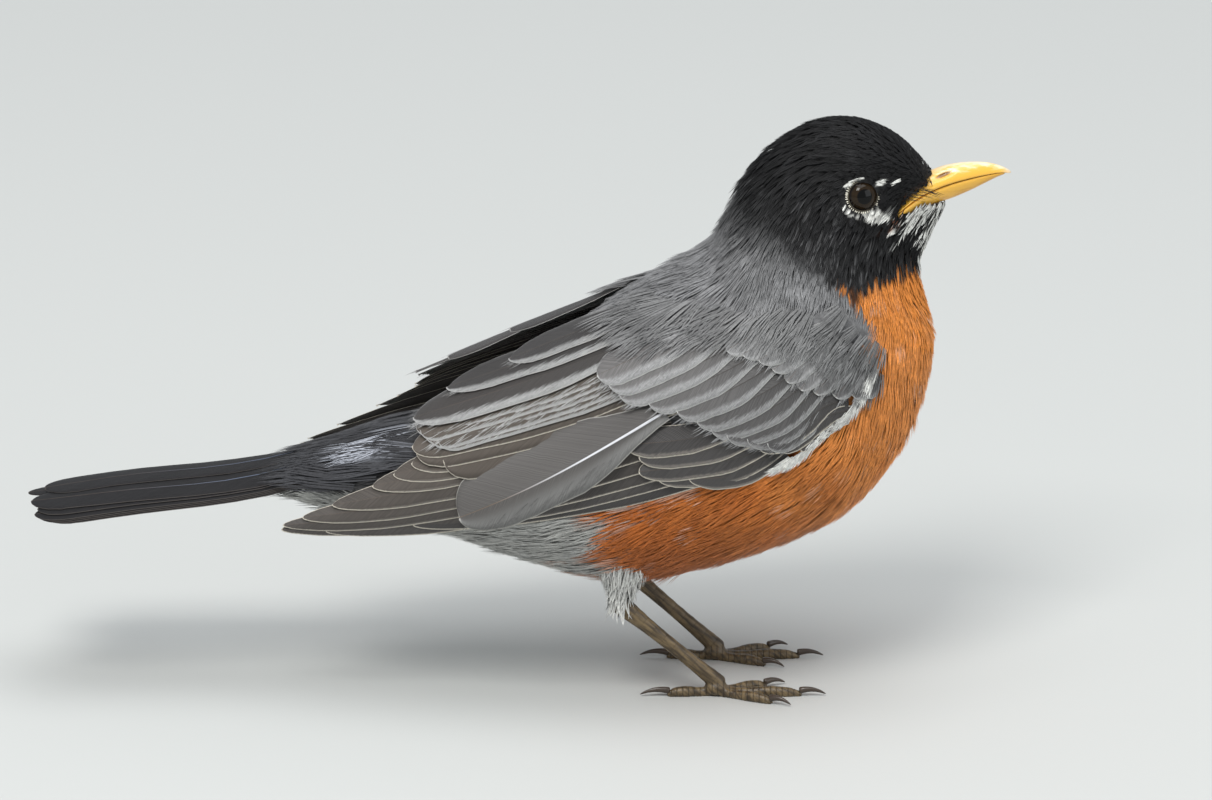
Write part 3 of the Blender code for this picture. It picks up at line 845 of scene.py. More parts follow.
@dataclass(frozen=True)
class Markings:
    """Where the body's colours lie, by station and by angle from the middle of the back."""

    # angle from the back, station where the black hood starts, how far it takes to turn black
    hood_edge: Table = (
        (0, 6.3, 2.6), (24, 7, 2), (45, 7.8, 1.4), (60, 8.35, 0.9), (75, 8.75, 0.45), (85, 8.95, 0.14),
        (92, 9.1, 0.1), (101, 9.2, 0.1), (114, 9.5, 0.1), (133, 9.96, 0.1), (155, 10.4, 0.12),
        (180, 10.6, 0.14),
    )
    flank_line: Table = (
        (0, 96), (1.6, 92), (4, 84), (7, 84), (7.9, 98), (8.3, 103), (8.6, 112), (8.8, 115), (8.93, 113),
        (9, 104), (9.04, 92), (9.07, 84.5), (16, 85),
    )
    vent_station: float = 3.87
    spot_centre: Row = (9.13, 98)
    spot_size: Row = (0.13, 3.2)
    # x and z of the ends of the white marks round the eye, and their half width
    eye_marks: Table = (
        (74.4, 122.5, 75.9, 123.5, 0.5), (76.8, 124.2, 78.2, 124.4, 0.2), (82.3, 122.7, 83.4, 123.3, 0.6),
        (85.4, 122.4, 86.6, 123.2, 0.34), (74.1, 118, 75.6, 116.6, 0.32), (76, 116.3, 78.6, 115.6, 0.24),
        (80, 115.5, 84, 114.9, 1.3),
    )

    def eye_mark(self, points: Array) -> Array:
        """How far points lie in the white marks round the eye, from 0 to 1."""
        place = points[..., [0, 2]]
        share = np.zeros(points.shape[:-1])
        for x0, z0, x1, z1, width in self.eye_marks:
            start, span = np.array([x0, z0]), np.array([x1 - x0, z1 - z0])
            along = np.clip(((place - start) @ span) / (span @ span), 0, 1)
            away = np.linalg.norm(place - start - along[..., None] * span, axis=-1)
            share = np.maximum(share, 1 - ramp(width * 0.7, width * 1.2, away))
        return share

    def shade(self, at: Array, points: Array, luck: Array, across: Array) -> Array:
        """Colours of small feathers; the place across a feather makes no difference."""
        return self.colour(at, points, luck)

    def colour(self, at: Array, points: Array, luck: Array) -> Array:
        """Colours of the plumage at places on the body, with painted shade on the underside and on the vent's whites.

        Args:
            at: station and angle of each place.
            points: position of each place.
            luck: a random number from 0 to 1, the same over one feather.

        Returns:
            Linear red, green and blue.
        """
        station = at[..., 0]
        whole = np.mod(at[..., 1], 360)
        angle = np.minimum(whole, 360 - whole)
        wander = waves(points, 9, 11) * 0.5 + (luck - 0.5)
        slate = blend(Tone.SLATE.rgb(), Tone.SLATE.rgb() * 0.45, ramp(4, 1.6, station))
        slate = slate * (1 + 0.12 * waves(points, 7, 5))[..., None]
        orange = blend(Tone.ORANGE.rgb(), Tone.RUST.rgb(), ramp(8.6, 4.4, station + 0.8 * wander))
        orange = orange * (1 + 0.1 * waves(points, 11, 23))[..., None]
        orange = blend(orange, Tone.WHITE.rgb(), 0.28 * ramp(0.93, 1, luck))
        # painted shade: the whites of the vent at about half brightness, with smoky grey mixed into some of them
        white = blend(Tone.WHITE.rgb() * 0.56, Tone.SMOKE.rgb(), 0.4 * ramp(0.45, 0.98, luck))
        # painted shade: the orange darker on the underside, aft of the breast
        orange = orange * (1 - 0.22 * ramp(130, 165, angle) * ramp(8, 6, station))[..., None]
        under = blend(orange, white, ramp(0.16, -0.16, station - self.vent_station + 0.42 * wander))
        line = line_values(self.flank_line, station)
        colour = blend(slate, under, ramp(-3, 3, angle - line + 2 * wander))
        edge, fade = np.moveaxis(curve(self.hood_edge, angle), -1, 0)
        hood = ramp(0, 1, (station - edge) / fade + 0.14 * wander)
        black = Tone.BLACK.rgb() * (0.75 + 0.9 * luck**2)[..., None]
        colour = blend(colour, black, hood)
        spot_s, spot_a = self.spot_centre
        away = np.hypot((station - spot_s) / self.spot_size[0], (angle - spot_a) / self.spot_size[1])
        colour = blend(colour, Tone.SPOT.rgb(), ramp(1.3, 0.7, away) * (whole > 180))
        share = ramp(104, 124, angle) * ramp(10.2, 13, station + 0.008 * (angle - 120))
        streak = waves(np.stack([angle * 1.2, station * 0.5, luck * 1.5], -1), 5, 77) + 0.8 * (luck - 0.5)
        chin = ramp(1 - 1.5 * share, 1.35 - 1.5 * share, streak) * ramp(0.02, 0.2, share)
        colour = blend(colour, Tone.WHITE.rgb() * 1.1, 0.95 * chin)
        corner = np.hypot((station - 11.9) / 0.65, (angle - 116) / 4.5)
        colour = blend(colour, Tone.GAPE.rgb(), 0.6 * ramp(1.2, 0.5, corner) * ramp(0.35, 0.6, luck))
        fleck = ramp(0.3, 0.9, waves(points, 1.3, 91)) * ramp(11.2, 9.4, station) * ramp(35, 70, angle)
        colour = blend(colour, Tone.SLATE.rgb(), 0.35 * fleck * hood)
        return blend(colour, Tone.WHITE.rgb() * 1.1, self.eye_mark(points) * ramp(-0.1, 0.15, luck))


# ---- the coat


@dataclass(frozen=True)
class TuftKind:
    """Size and shape of one kind of small feather, as a fan of blades."""

    length: float
    spread: float
    blades: int
    blade_width: float
    fan: float
    sink: float
    rise: float
    loose: float = 0.1
    soft: float = 0.7
    edge: float = 0.1
    # colour factors from root to tip of each blade: the darker roots are painted shade between the feathers together
    # with their grey down; the paler tips are their fringes
    shades: Row = (0.7, 0.88, 1, 1.08)


@dataclass
class Blades:
    """Thin tapered blades laid along a form: three edges that run to one tip."""

    surface: Surface
    finish: Material
    soft: float = 0.7
    rows: Row = (0, 0.38, 0.74, 1)
    shape: Row = (0.75, 1, 0.72)
    ridge: float = 0.07
    patch: float = 0.003

    def lay(
        self, name: str, at: Array, heading: Array, length: Array, width: Array, lifts: Array, colours: Array,
        homes: Array,
    ) -> Piece:
        """Builds one joined mesh of blades.

        Args:
            name: name of the piece.
            at: pair of parameters at each root.
            heading: direction in which each blade lies.
            length: length of each blade.
            width: half width of each blade.
            lifts: height of each blade over the form, at each row.
            colours: colour of each blade, at each row.
            homes: place of each blade's feather on the map.

        Returns:
            The finished piece.
        """
        count = len(at)
        rings = len(self.rows) - 1
        points = np.empty((count, rings * 3 + 1, 3))
        tint, facing = points.copy(), points.copy()
        place = np.empty((count, rings * 3 + 1, 2))
        for row, along in enumerate(self.rows):
            if row:
                at = self.surface.move(at, heading * (length * (along - self.rows[row - 1]))[:, None])
            centre, normal, _, _ = self.surface.sample(at)
            heading = unit(heading - normal * np.sum(heading * normal, axis=-1, keepdims=True))
            aside = np.cross(normal, heading)
            middle = centre + normal * lifts[:, row, None]
            if row == rings:
                corners = ((-1, 0, 0, 0.5),)
            else:
                corners = ((row * 3, -1, 0, 0), (row * 3 + 1, 1, 0, 1), (row * 3 + 2, 0, self.ridge, 0.5))
            half = width * (0 if row == rings else self.shape[row])
            for corner, out, up, across in corners:
                points[:, corner] = middle + aside * (half * out)[:, None] + normal * up
                facing[:, corner] = unit(normal * self.soft + aside * out * (1 - self.soft))
                tint[:, corner] = colours[:, row]
                place[:, corner] = homes + (across * self.patch, along * self.patch)
        start = (np.arange(count) * (rings * 3 + 1))[:, None, None]
        quads, triangles = self.faces(rings)
        piece = make_object(
            name, points.reshape(-1, 3), (start + quads[None]).reshape(-1, 4),
            (start + triangles[None]).reshape(-1, 3), self.finish,
        )
        piece.data.normals_split_custom_set_from_vertices(facing.reshape(-1, 3))
        set_colours(piece, "tint", tint.reshape(-1, 3))
        set_map(piece, "OFBake", place.reshape(-1, 2))
        return piece

    def faces(self, rings: int) -> tuple[Array, Array]:
        """Vertex numbers of the faces of one blade."""
        quads = []
        for row in range(rings - 1):
            left, right, top = row * 3, row * 3 + 1, row * 3 + 2
            for a, b in ((left, top), (top, right), (right, left)):
                quads.append((a, a + 3, b + 3, b))
        left, right, top, tip = rings * 3 - 3, rings * 3 - 2, rings * 3 - 1, rings * 3
        return np.array(quads), np.array([(left, tip, top), (top, tip, right), (right, tip, left), (0, 2, 1)])


Shade = Callable[[Array, Array, Array, Array], Array]


@dataclass
class SoftFeathers:
    """Small feathers of one kind over one form."""

    surface: Surface
    finish: Material
    low: Row
    high: Row

    def lay(
        self, name: str, kind: TuftKind, at: Array, flow: Array, size: Array, shade: Shade,
        rng: Draws, hidden: Callable[[Array], Array] | None = None, raised: Array | None = None,
    ) -> Piece:
        """Lays the feathers at their roots.

        Args:
            name: name of the piece.
            kind: size and shape of the feathers.
            at: pair of parameters at each root.
            flow: direction in which each feather lies.
            size: length of each feather as a share of the kind's.
            shade: colours by parameters, position, luck and place across.
            rng: source of the random draws.
            hidden: tells where something lies over the form.
            raised: extra height of each feather.

        Returns:
            The finished piece.
        """
        feathers, blades = len(at), kind.blades
        points, normal, _, _ = self.surface.sample(at)
        aside = np.cross(normal, flow)
        turn = np.radians(rng.normal(0, 4, feathers) + 9 * waves(points, 13, 3))[:, None]
        flow = flow * np.cos(turn) + aside * np.sin(turn)
        luck = rng.uniform(0, 1, feathers)
        tone = 1 + rng.normal(0, 0.06, feathers)
        level = rng.uniform(-0.12, 0.12, feathers) * kind.sink
        loose = np.maximum(rng.normal(0, kind.loose, feathers), 0) * kind.length * 0.3
        span = np.array(self.high) - self.low
        homes = 0.004 + 0.988 * np.clip((at - self.low) / span, 0, 1)

        fan = np.linspace(-1, 1, blades)
        across = np.repeat(fan[None], feathers, axis=0) + rng.normal(0, 0.1, (feathers, blades))
        swing = np.radians(across * kind.fan)[..., None]
        side = np.cross(normal, flow)[:, None]
        heading = flow[:, None] * np.cos(swing) + side * np.sin(swing)
        beside = side * (across * kind.spread * 0.5)[..., None]
        roots = self.surface.move(np.repeat(at[:, None], blades, axis=1), beside)
        reach = (kind.length * size * rng.uniform(0.88, 1.12, feathers))[:, None]
        reach = reach * (1 - 0.22 * across**2) * rng.uniform(0.9, 1.08, across.shape)
        width = kind.blade_width * rng.uniform(0.75, 1.25, across.shape)

        roots, heading, reach = roots.reshape(-1, 2), heading.reshape(-1, 3), reach.ravel()
        along = np.array(Blades.rows)
        lifts = -kind.sink + (kind.sink + kind.rise) * along[None] ** 0.75
        lifts = lifts + np.repeat(level, blades)[:, None] + np.repeat(loose, blades)[:, None] * along**2
        lifts = lifts + rng.uniform(-0.05, 0.05, len(roots))[:, None]
        if raised is not None:
            lifts = lifts + np.repeat(raised, blades)[:, None]
        middle = self.surface.move(roots, heading * (reach * 0.6)[:, None])
        if hidden is not None:
            tips = self.surface.move(middle, heading * (reach * 0.4)[:, None])
            for row, where in ((2, middle), (3, tips)):
                lifts[hidden(where), row] = -0.6
        ends = self.surface.sample(middle)[0]
        base = shade(middle, ends, np.repeat(luck, blades), across.ravel())
        base = base * (np.repeat(tone, blades) * (1 + rng.normal(0, 0.06, len(roots))))[:, None]
        base = base * (1 + kind.edge * (np.abs(across.ravel()) - 0.5))[:, None]
        # painted shade with the grey down at the roots, paler fringes at the tips
        colours = np.clip(base[:, None] * np.array(kind.shades)[None, :, None], 0, 1)
        sheet = Blades(self.surface, self.finish, kind.soft)
        return sheet.lay(name, roots, heading, reach, width.ravel(), lifts, colours, np.repeat(homes, blades, axis=0))


def from_back(at: Array) -> Array:
    """Angle of body places from the middle of the back, the same on both sides."""
    return np.minimum(at[:, 1], 360 - at[:, 1])


@dataclass(frozen=True)
class Region:
    """One piece of the coat: its feathers, first and last station, spacing, random draws and slot."""

    name: str
    kind: TuftKind
    span: Row
    spacing: float
    seed: int
    slot: str


@dataclass
class Coat:
    """The small feathers of head, neck and trunk, in pieces by region."""

    body: Surface
    markings: Markings
    finish: Material
    head_finish: Material
    covered: BVHTree
    last_station: float
    eye_clear: float = 3.95
    # angle from the back, last station that still bears feathers beside the bill
    bill_edge: Table = (
        (0, 15.7), (30, 15.85), (64, 15.7), (96, 14.4), (103.5, 13.6), (107.5, 12.95), (110.5, 12.3),
        (112.5, 11.9), (115, 12.6), (119, 13.4), (123, 14.2), (130, 14.7), (140, 15.3), (180, 15.85),
    )
    regions: tuple[Region, ...] = (
        Region("face", TuftKind(2.7, 0.85, 7, 0.085, -3, 0.5, 0.1, 0.08, 0.58), (11.4, 16), 0.85, 31, "head_black"),
        Region("head", TuftKind(5.4, 1.7, 9, 0.125, -5, 0.9, 0.22, 0.2, 0.55), (9.2, 12.6), 1.25, 32, "head_black"),
        Region("neck", TuftKind(7.5, 2.2, 9, 0.2, 6, 1.2, 0.24, 0.2, 0.6), (7.7, 9.9), 1.75, 33, "back_grey"),
        Region(
            "breast", TuftKind(9, 2.8, 11, 0.22, 11, 1.3, 0.25, 0.1, 0.78, 0.1, (0.8, 0.94, 1, 1.06)),
            (4.6, 8.3), 2.15, 34, "breast_orange",
        ),
        Region(
            "belly", TuftKind(11, 3, 11, 0.24, 13, 1.5, 0.35, 0.2, 0.78, 0.1, (0.85, 0.95, 1, 1.05)),
            (0.1, 5), 2.3, 35, "belly_white",
        ),
        Region("rump", TuftKind(14, 4, 13, 0.24, 5, 1.3, 0.2, 0.05, 0.75), (0.1, 3.6), 2.6, 36, "back_grey"),
        Region(
            "back", TuftKind(10, 3.2, 13, 0.2, 10, 1.3, 0.2, 0.08, 0.76, 0.1, (0.8, 0.92, 1, 1.05)),
            (3.3, 8.3), 2.4, 37, "back_grey",
        ),
    )

    def lie(self, at: Array) -> Array:
        """Direction in which feathers lie: toward the tail, parting round the eye."""
        points, _, along, _ = self.body.sample(at)
        flow = -unit(along)
        for side in Side:
            away = self.off_axis(points, side)
            distance = np.linalg.norm(away, axis=-1)
            away = unit(away)
            inward = np.minimum(np.sum(flow * away, axis=-1), 0)
            share = ramp(9, 4.2, distance) * (points[..., 1] * side > 0)
            flow = flow - away * (inward * share)[..., None]
        return unit(flow)

    def off_axis(self, points: Array, side: float | Array) -> Array:
        """Shortest vectors to points from the axis of the eye on a side."""
        centre, axis = EYES.on(side)
        away, axis = points - centre, unit(axis)
        return away - np.sum(away * axis, axis=-1, keepdims=True) * axis

    def from_eye(self, points: Array) -> Array:
        """Distance of points from the axis of the nearer eye."""
        return np.linalg.norm(self.off_axis(points, np.where(points[..., 1] < 0, -1, 1)), axis=-1)

    def under_wing(self, at: Array, reach: float = 8) -> Array:
        """True where a wing lies over the body."""
        points, normal, _, _ = self.body.sample(at)
        starts = (points - normal) * MM
        hits = (self.covered.ray_cast(Vector(p), Vector(n), reach * MM)[0] for p, n in zip(starts, normal))
        return np.array([hit is not None for hit in hits], bool)

    def lay(self, region: Region) -> Piece:
        """Lays the coat of one region."""
        rng = np.random.default_rng(region.seed)
        (first, last), name = region.span, region.name
        at = self.body.spread((first, 0), (last, 360), region.spacing, rng)
        edge = line_values(self.bill_edge, from_back(at))
        at = at[(at[:, 0] < edge + rng.uniform(-0.08, 0.08, len(at))) & self.belongs(name, at)]
        at = at[self.from_eye(self.body.sample(at)[0]) > self.eye_clear]
        deep = self.under_wing(self.body.move(at, self.lie(at) * 2.5))
        at = at[~(deep & self.under_wing(at))]
        angle = from_back(at)
        size = 0.42 + 0.58 * ramp(4, 9, self.from_eye(self.body.sample(at)[0]))
        size *= 0.6 + 0.4 * ramp(0, 2, line_values(self.bill_edge, angle) - at[:, 0])
        if name == "head":
            size *= 1 + 0.25 * ramp(60, 20, angle)
        finish = self.head_finish if name in ("face", "head") else self.finish
        feathers = SoftFeathers(self.body, finish, (0, 0), (self.last_station, 360))
        shade = self.markings.shade
        return feathers.lay(f"coat_{name}", region.kind, at, self.lie(at), size, shade, rng, self.under_wing)

    def belongs(self, name: str, at: Array) -> Array:
        """True where roots between the stations of a region are in that region."""
        angle = from_back(at)
        aft = at[:, 0] < 3.45
        if name == "rump":
            points = self.body.sample(at)[0]
            return aft & (angle < 98) & ((at[:, 0] > 2) | (np.abs(points[:, 1]) > 9))
        if name == "belly":
            return (~aft & (angle >= 90)) | (aft & (angle >= 98))
        if name == "breast":
            return angle >= 90
        return angle < 90 if name == "back" else angle >= 0

    def bristles(self) -> Piece:
        """The few thin dark bristles that cross the root of the bill."""
        rng = np.random.default_rng(39)
        at = np.stack([rng.uniform(12.6, 14.6, 30), rng.uniform(93, 105, 30)], -1)
        at = at[at[:, 0] < line_values(self.bill_edge, at[:, 1]) + 0.3]
        at = np.concatenate([at, at * (1, -1) + (0, 360)])
        _, _, along, around = self.body.sample(at)
        down = unit(around) * np.where(at[:, 1:] < 180, 1, -1)
        count = len(at)
        heading = unit(unit(along) + down * rng.uniform(0.1, 0.7, count)[:, None])
        lifts = np.array([-0.4, 0.2, 0.7, 1.1])[None] + rng.uniform(0, 0.4, count)[:, None]
        colours = np.full((count, 4, 3), 0.008)
        homes = np.stack([0.004 + 0.98 * at[:, 0] / 16, 0.004 + 0.98 * at[:, 1] / 360], -1)
        sheet = Blades(self.body, self.finish, 0.3)
        return sheet.lay(
            "bristles", at, heading, rng.uniform(3, 5, count), np.full(count, 0.055), lifts, colours, homes
        )


# ---- quill feathers


@dataclass(frozen=True)
class Vane:
    """Outline and section of one kind of quill feather, in millimetres."""

    half_width: float
    tip_share: float = 0.22
    tip_power: float = 2
    root_width: float = 0.45
    upper_share: float = 1
    tilt: float = 0.38
    thickness: float = 0.16
    shaft_height: float = 0.1
    camber: float = 0.15
    rows: int = 18
    # share of the half width at each column, from the upper edge to the lower one
    columns: Row = (-1, -0.7, -0.35, -0.05, 0, 0.05, 0.35, 0.7, 1)

    def toward(self, other: Vane, share: float) -> Vane:
        """A vane between this one and another."""
        names = ("half_width", "tip_share", "tip_power", "root_width", "upper_share", "tilt")
        return replace(self, **{n: getattr(self, n) * (1 - share) + getattr(other, n) * share for n in names})


@dataclass(frozen=True)
class Quill:
    """Where one feather lies on its form, and its colour."""

    root: Row
    tip: Row
    lift: Row
    colour: Row
    # width of the pale lower web, strength of the pale web, strength of the pale rim
    web: Row = (1.2, 0.6, 1)
    bow: float = 0


@dataclass
class VaneLayer:
    """Collects the vanes of one piece on one form, with the loose barbs on their margins."""

    surface: Surface
    side: Side
    name: str
    look: Look
    rng: Draws
    points: list[Array] = field(default_factory=list)
    quads: list[Array] = field(default_factory=list)
    marks: dict[str, list[Array]] = field(default_factory=lambda: {"tint": [], "vane": [], "margin": [], "web": []})
    spots: list[Array] = field(default_factory=list)
    barbs: list[tuple[Array, ...]] = field(default_factory=list)

    def add(self, quill: Quill, kind: Vane, barb_gap: float = 0) -> None:
        """Adds one feather.

        Args:
            quill: where the feather lies, and its colour.
            kind: outline and section.
            barb_gap: mean distance between loose barbs along the margin, or 0 for none.
        """
        logical = np.array(kind.columns)
        across = logical if self.side < 0 else -logical[::-1]
        lower = across * -self.side
        rows = kind.rows
        start = 1 - kind.tip_share
        steps = np.concatenate([
            np.linspace(0, start, rows // 2, endpoint=False),
            start + kind.tip_share * np.sin(np.linspace(0, math.pi / 2, rows - rows // 2)),
        ])
        line = np.array(quill.root)[None] * (1 - steps[:, None]) + np.array(quill.tip)[None] * steps[:, None]
        line[:, 1] += quill.bow * 4 * steps * (1 - steps)
        centre, normal, _, _ = self.surface.sample(line)
        length = float(np.sum(np.linalg.norm(np.diff(centre, axis=0), axis=1)))
        heading = np.gradient(centre, steps, axis=0)
        heading = unit(heading - normal * np.sum(heading * normal, axis=-1, keepdims=True))
        aside = np.cross(normal, heading)
        grown = kind.root_width + (1 - kind.root_width) * ramp(0, 0.45, steps)
        end = np.clip((steps - start) / kind.tip_share, 0, 1)
        taper = np.maximum(1 - end**kind.tip_power, 0) ** 0.5
        half = kind.half_width * grown * np.maximum(taper, 0.03)
        share = np.where(lower < 0, kind.upper_share, 1)
        ragged = 1 + self.rng.normal(0, 0.015, (rows, len(across))) * (np.abs(across) > 0.9)
        reach = half[:, None] * (across * share)[None] * ragged
        at = self.surface.move(np.repeat(line[:, None], len(across), axis=1), aside[:, None] * reach[..., None])
        place, out, _, _ = self.surface.sample(at)
        base_lift = quill.lift[0] + (quill.lift[1] - quill.lift[0]) * steps
        height = base_lift[:, None] + kind.tilt * lower[None] * grown[:, None] - kind.camber * across[None] ** 2
        on_shaft = (np.abs(across) < 0.02) * kind.shaft_height * (1 - 0.8 * steps[:, None])
        thick = kind.thickness * (1 - 0.6 * np.abs(across[None])) * np.maximum(taper[:, None], 0.3)
        top = place + out * (height + on_shaft)[..., None]
        under = place + out * (height - thick)[..., None]
        self.close(top, under)

        number = len(self.spots)
        # painted shade: each vane darker toward its root, under the feathers that lie over it
        shade = 0.82 + 0.22 * ramp(0, 0.6, steps)
        tint = np.clip(np.array(quill.colour) * shade[:, None, None] * np.ones(reach.shape)[..., None], 0, 1)
        left_over = np.repeat((1 - steps)[:, None] * length, len(across), 1)
        web = np.ones(reach.shape)[..., None] * np.array(quill.web)
        web[..., 0] *= np.clip(half / kind.half_width, 0.3, 1)[:, None]
        marks = {
            "tint": tint,
            "vane": np.stack([reach * -self.side, length - left_over, np.full(reach.shape, number * 7.3)], -1),
            "margin": np.stack([half[:, None] * (1 - lower), half[:, None] * (1 + lower), left_over], -1),
            "web": web,
        }
        for key, values in marks.items():
            self.marks[key] += [values.reshape(-1, 3)] * 2
        cell = np.stack(np.broadcast_arrays((across[None] + 1) / 2, steps[:, None]), -1)
        self.spots.append(np.concatenate([cell.reshape(-1, 2)] * 2))
        if barb_gap:
            self.fray(quill, kind, barb_gap, (steps, line, half, heading, base_lift, grown), length)

    def close(self, top: Array, under: Array) -> None:
        """Adds the faces of one closed sheet between its two sides."""
        rows, columns = top.shape[:2]
        count = rows * columns
        base = sum(len(p) for p in self.points)
        number = np.arange(count).reshape(rows, columns)
        a, b, c, d = number[:-1, :-1], number[1:, :-1], number[1:, 1:], number[:-1, 1:]
        faces = [np.stack([a, b, c, d], -1).reshape(-1, 4), np.stack([d, c, b, a], -1).reshape(-1, 4) + count]
        for edge, forward in ((number[:, 0], False), (number[:, -1], True), (number[0], True), (number[-1], False)):
            near, far = edge[:-1], edge[1:]
            ring = (near, far, far + count, near + count) if forward else (near, near + count, far + count, far)
            faces.append(np.stack(ring, -1))
        self.points += [top.reshape(-1, 3), under.reshape(-1, 3)]
        self.quads.append(np.concatenate(faces) + base)

    def fray(self, quill: Quill, kind: Vane, gap: float, lines: tuple[Array, ...], length: float) -> None:
        """Adds loose barbs along the lower margin and round the tip.

        Args:
            quill: the feather's place and colour.
            kind: outline and section.
            gap: mean distance between two barbs.
            lines: steps along the shaft, with its place, width, heading, lift and growth at each.
            length: length of the feather.
        """
        steps, line, half, heading, base_lift, grown = lines
        rng = self.rng
        count = int(length / gap)
        at = np.sort(rng.uniform(0.15, 0.985, count))
        place, ahead = (np.stack([np.interp(at, steps, c) for c in v.T], -1) for v in (line, heading))
        ahead = unit(ahead)
        wide, low = np.interp(at, steps, half), rng.uniform(0.45, 0.8, count)
        down = np.cross(self.surface.sample(place)[1], ahead) * -self.side
        roots = self.surface.move(place, down * (wide * low)[:, None])
        swing = np.radians(rng.uniform(15, 28, count))
        barb = ahead * np.cos(swing)[:, None] + down * np.sin(swing)[:, None]
        reach = np.clip(wide * (1 - low) / np.sin(swing) * rng.uniform(0.75, 1.12, count), 0.8, 5)
        ends = np.stack([low, low * 0.6 + 0.4, low * 0.25 + 0.75, np.ones(count)], -1)
        lifts = np.interp(at, steps, base_lift)[:, None] + kind.tilt * ends * np.interp(at, steps, grown)[:, None]
        lifts = lifts - kind.camber * ends**2 + np.array([-0.02, 0.02, 0.04, 0.06])
        lifts = lifts + rng.uniform(0, 0.05, count)[:, None]
        share = (quill.web[1] * ramp(0.3, 0.8, ends))[..., None]
        colours = np.array(quill.colour) * (1 - share) + np.array(self.look.value.pale) * share
        colours = colours * (1 + rng.normal(-0.06, 0.12, count))[:, None, None]
        self.barbs.append((roots, barb, reach, rng.uniform(0.05, 0.09, count), lifts, np.clip(colours, 0, 1)))

    def finish(self, material: Material) -> Piece:
        """Joins the feathers into one object with its attributes and maps."""
        marks = {key: np.concatenate(values) for key, values in self.marks.items()}
        piece = make_object(
            self.name, np.concatenate(self.points), np.concatenate(self.quads), np.empty((0, 3), int), material
        )
        set_colours(piece, "tint", marks.pop("tint"))
        for key, vectors in marks.items():
            set_vectors(piece, key, vectors)
        side = math.ceil(math.sqrt(len(self.spots)))
        corners = ((i % side, i // side) for i in range(len(self.spots)))
        places = [(np.array(corner) + 0.06 + 0.88 * cell) / side for corner, cell in zip(corners, self.spots)]
        set_map(piece, "OFBake", np.concatenate(places))
        return piece


@dataclass(frozen=True)
class FeatherRow:
    """Feathers of one kind between a line of roots and a line of tips, from the upper to the lower."""

    name: str
    count: int
    roots: Table
    tips: Table
    kinds: tuple[Vane, Vane]
    lift: Row
    # at the upper end and at the lower one, or one for both
    colours: Table
    webs: Table
    bow: Row = (0, 0)
    look: Look = Look.QUILL
    barb_gap: float = 0

    def lay(self, layer: VaneLayer) -> None:
        """Adds the row's feathers to a layer, the lowest first."""
        shares = np.linspace(0, 1, self.count)
        roots, tips = curve(numbered(self.roots), shares), curve(numbered(self.tips), shares)
        for i in range(self.count)[::-1]:
            share = float(shares[i])
            pairs = ((ends[0], ends[-1]) for ends in (self.colours, self.webs))
            mixed = [np.array(a) * (1 - share) + np.array(b) * share for a, b in pairs]
            tone = 1 + layer.rng.normal(0, 0.07)
            rise = layer.rng.uniform(-0.05, 0.05)
            quill = Quill(
                roots[i], tips[i], (self.lift[0], self.lift[1] + rise), mixed[0] * tone, mixed[1],
                self.bow[0] + (self.bow[1] - self.bow[0]) * share,
            )
            layer.add(quill, self.kinds[0].toward(self.kinds[1], share), self.barb_gap)


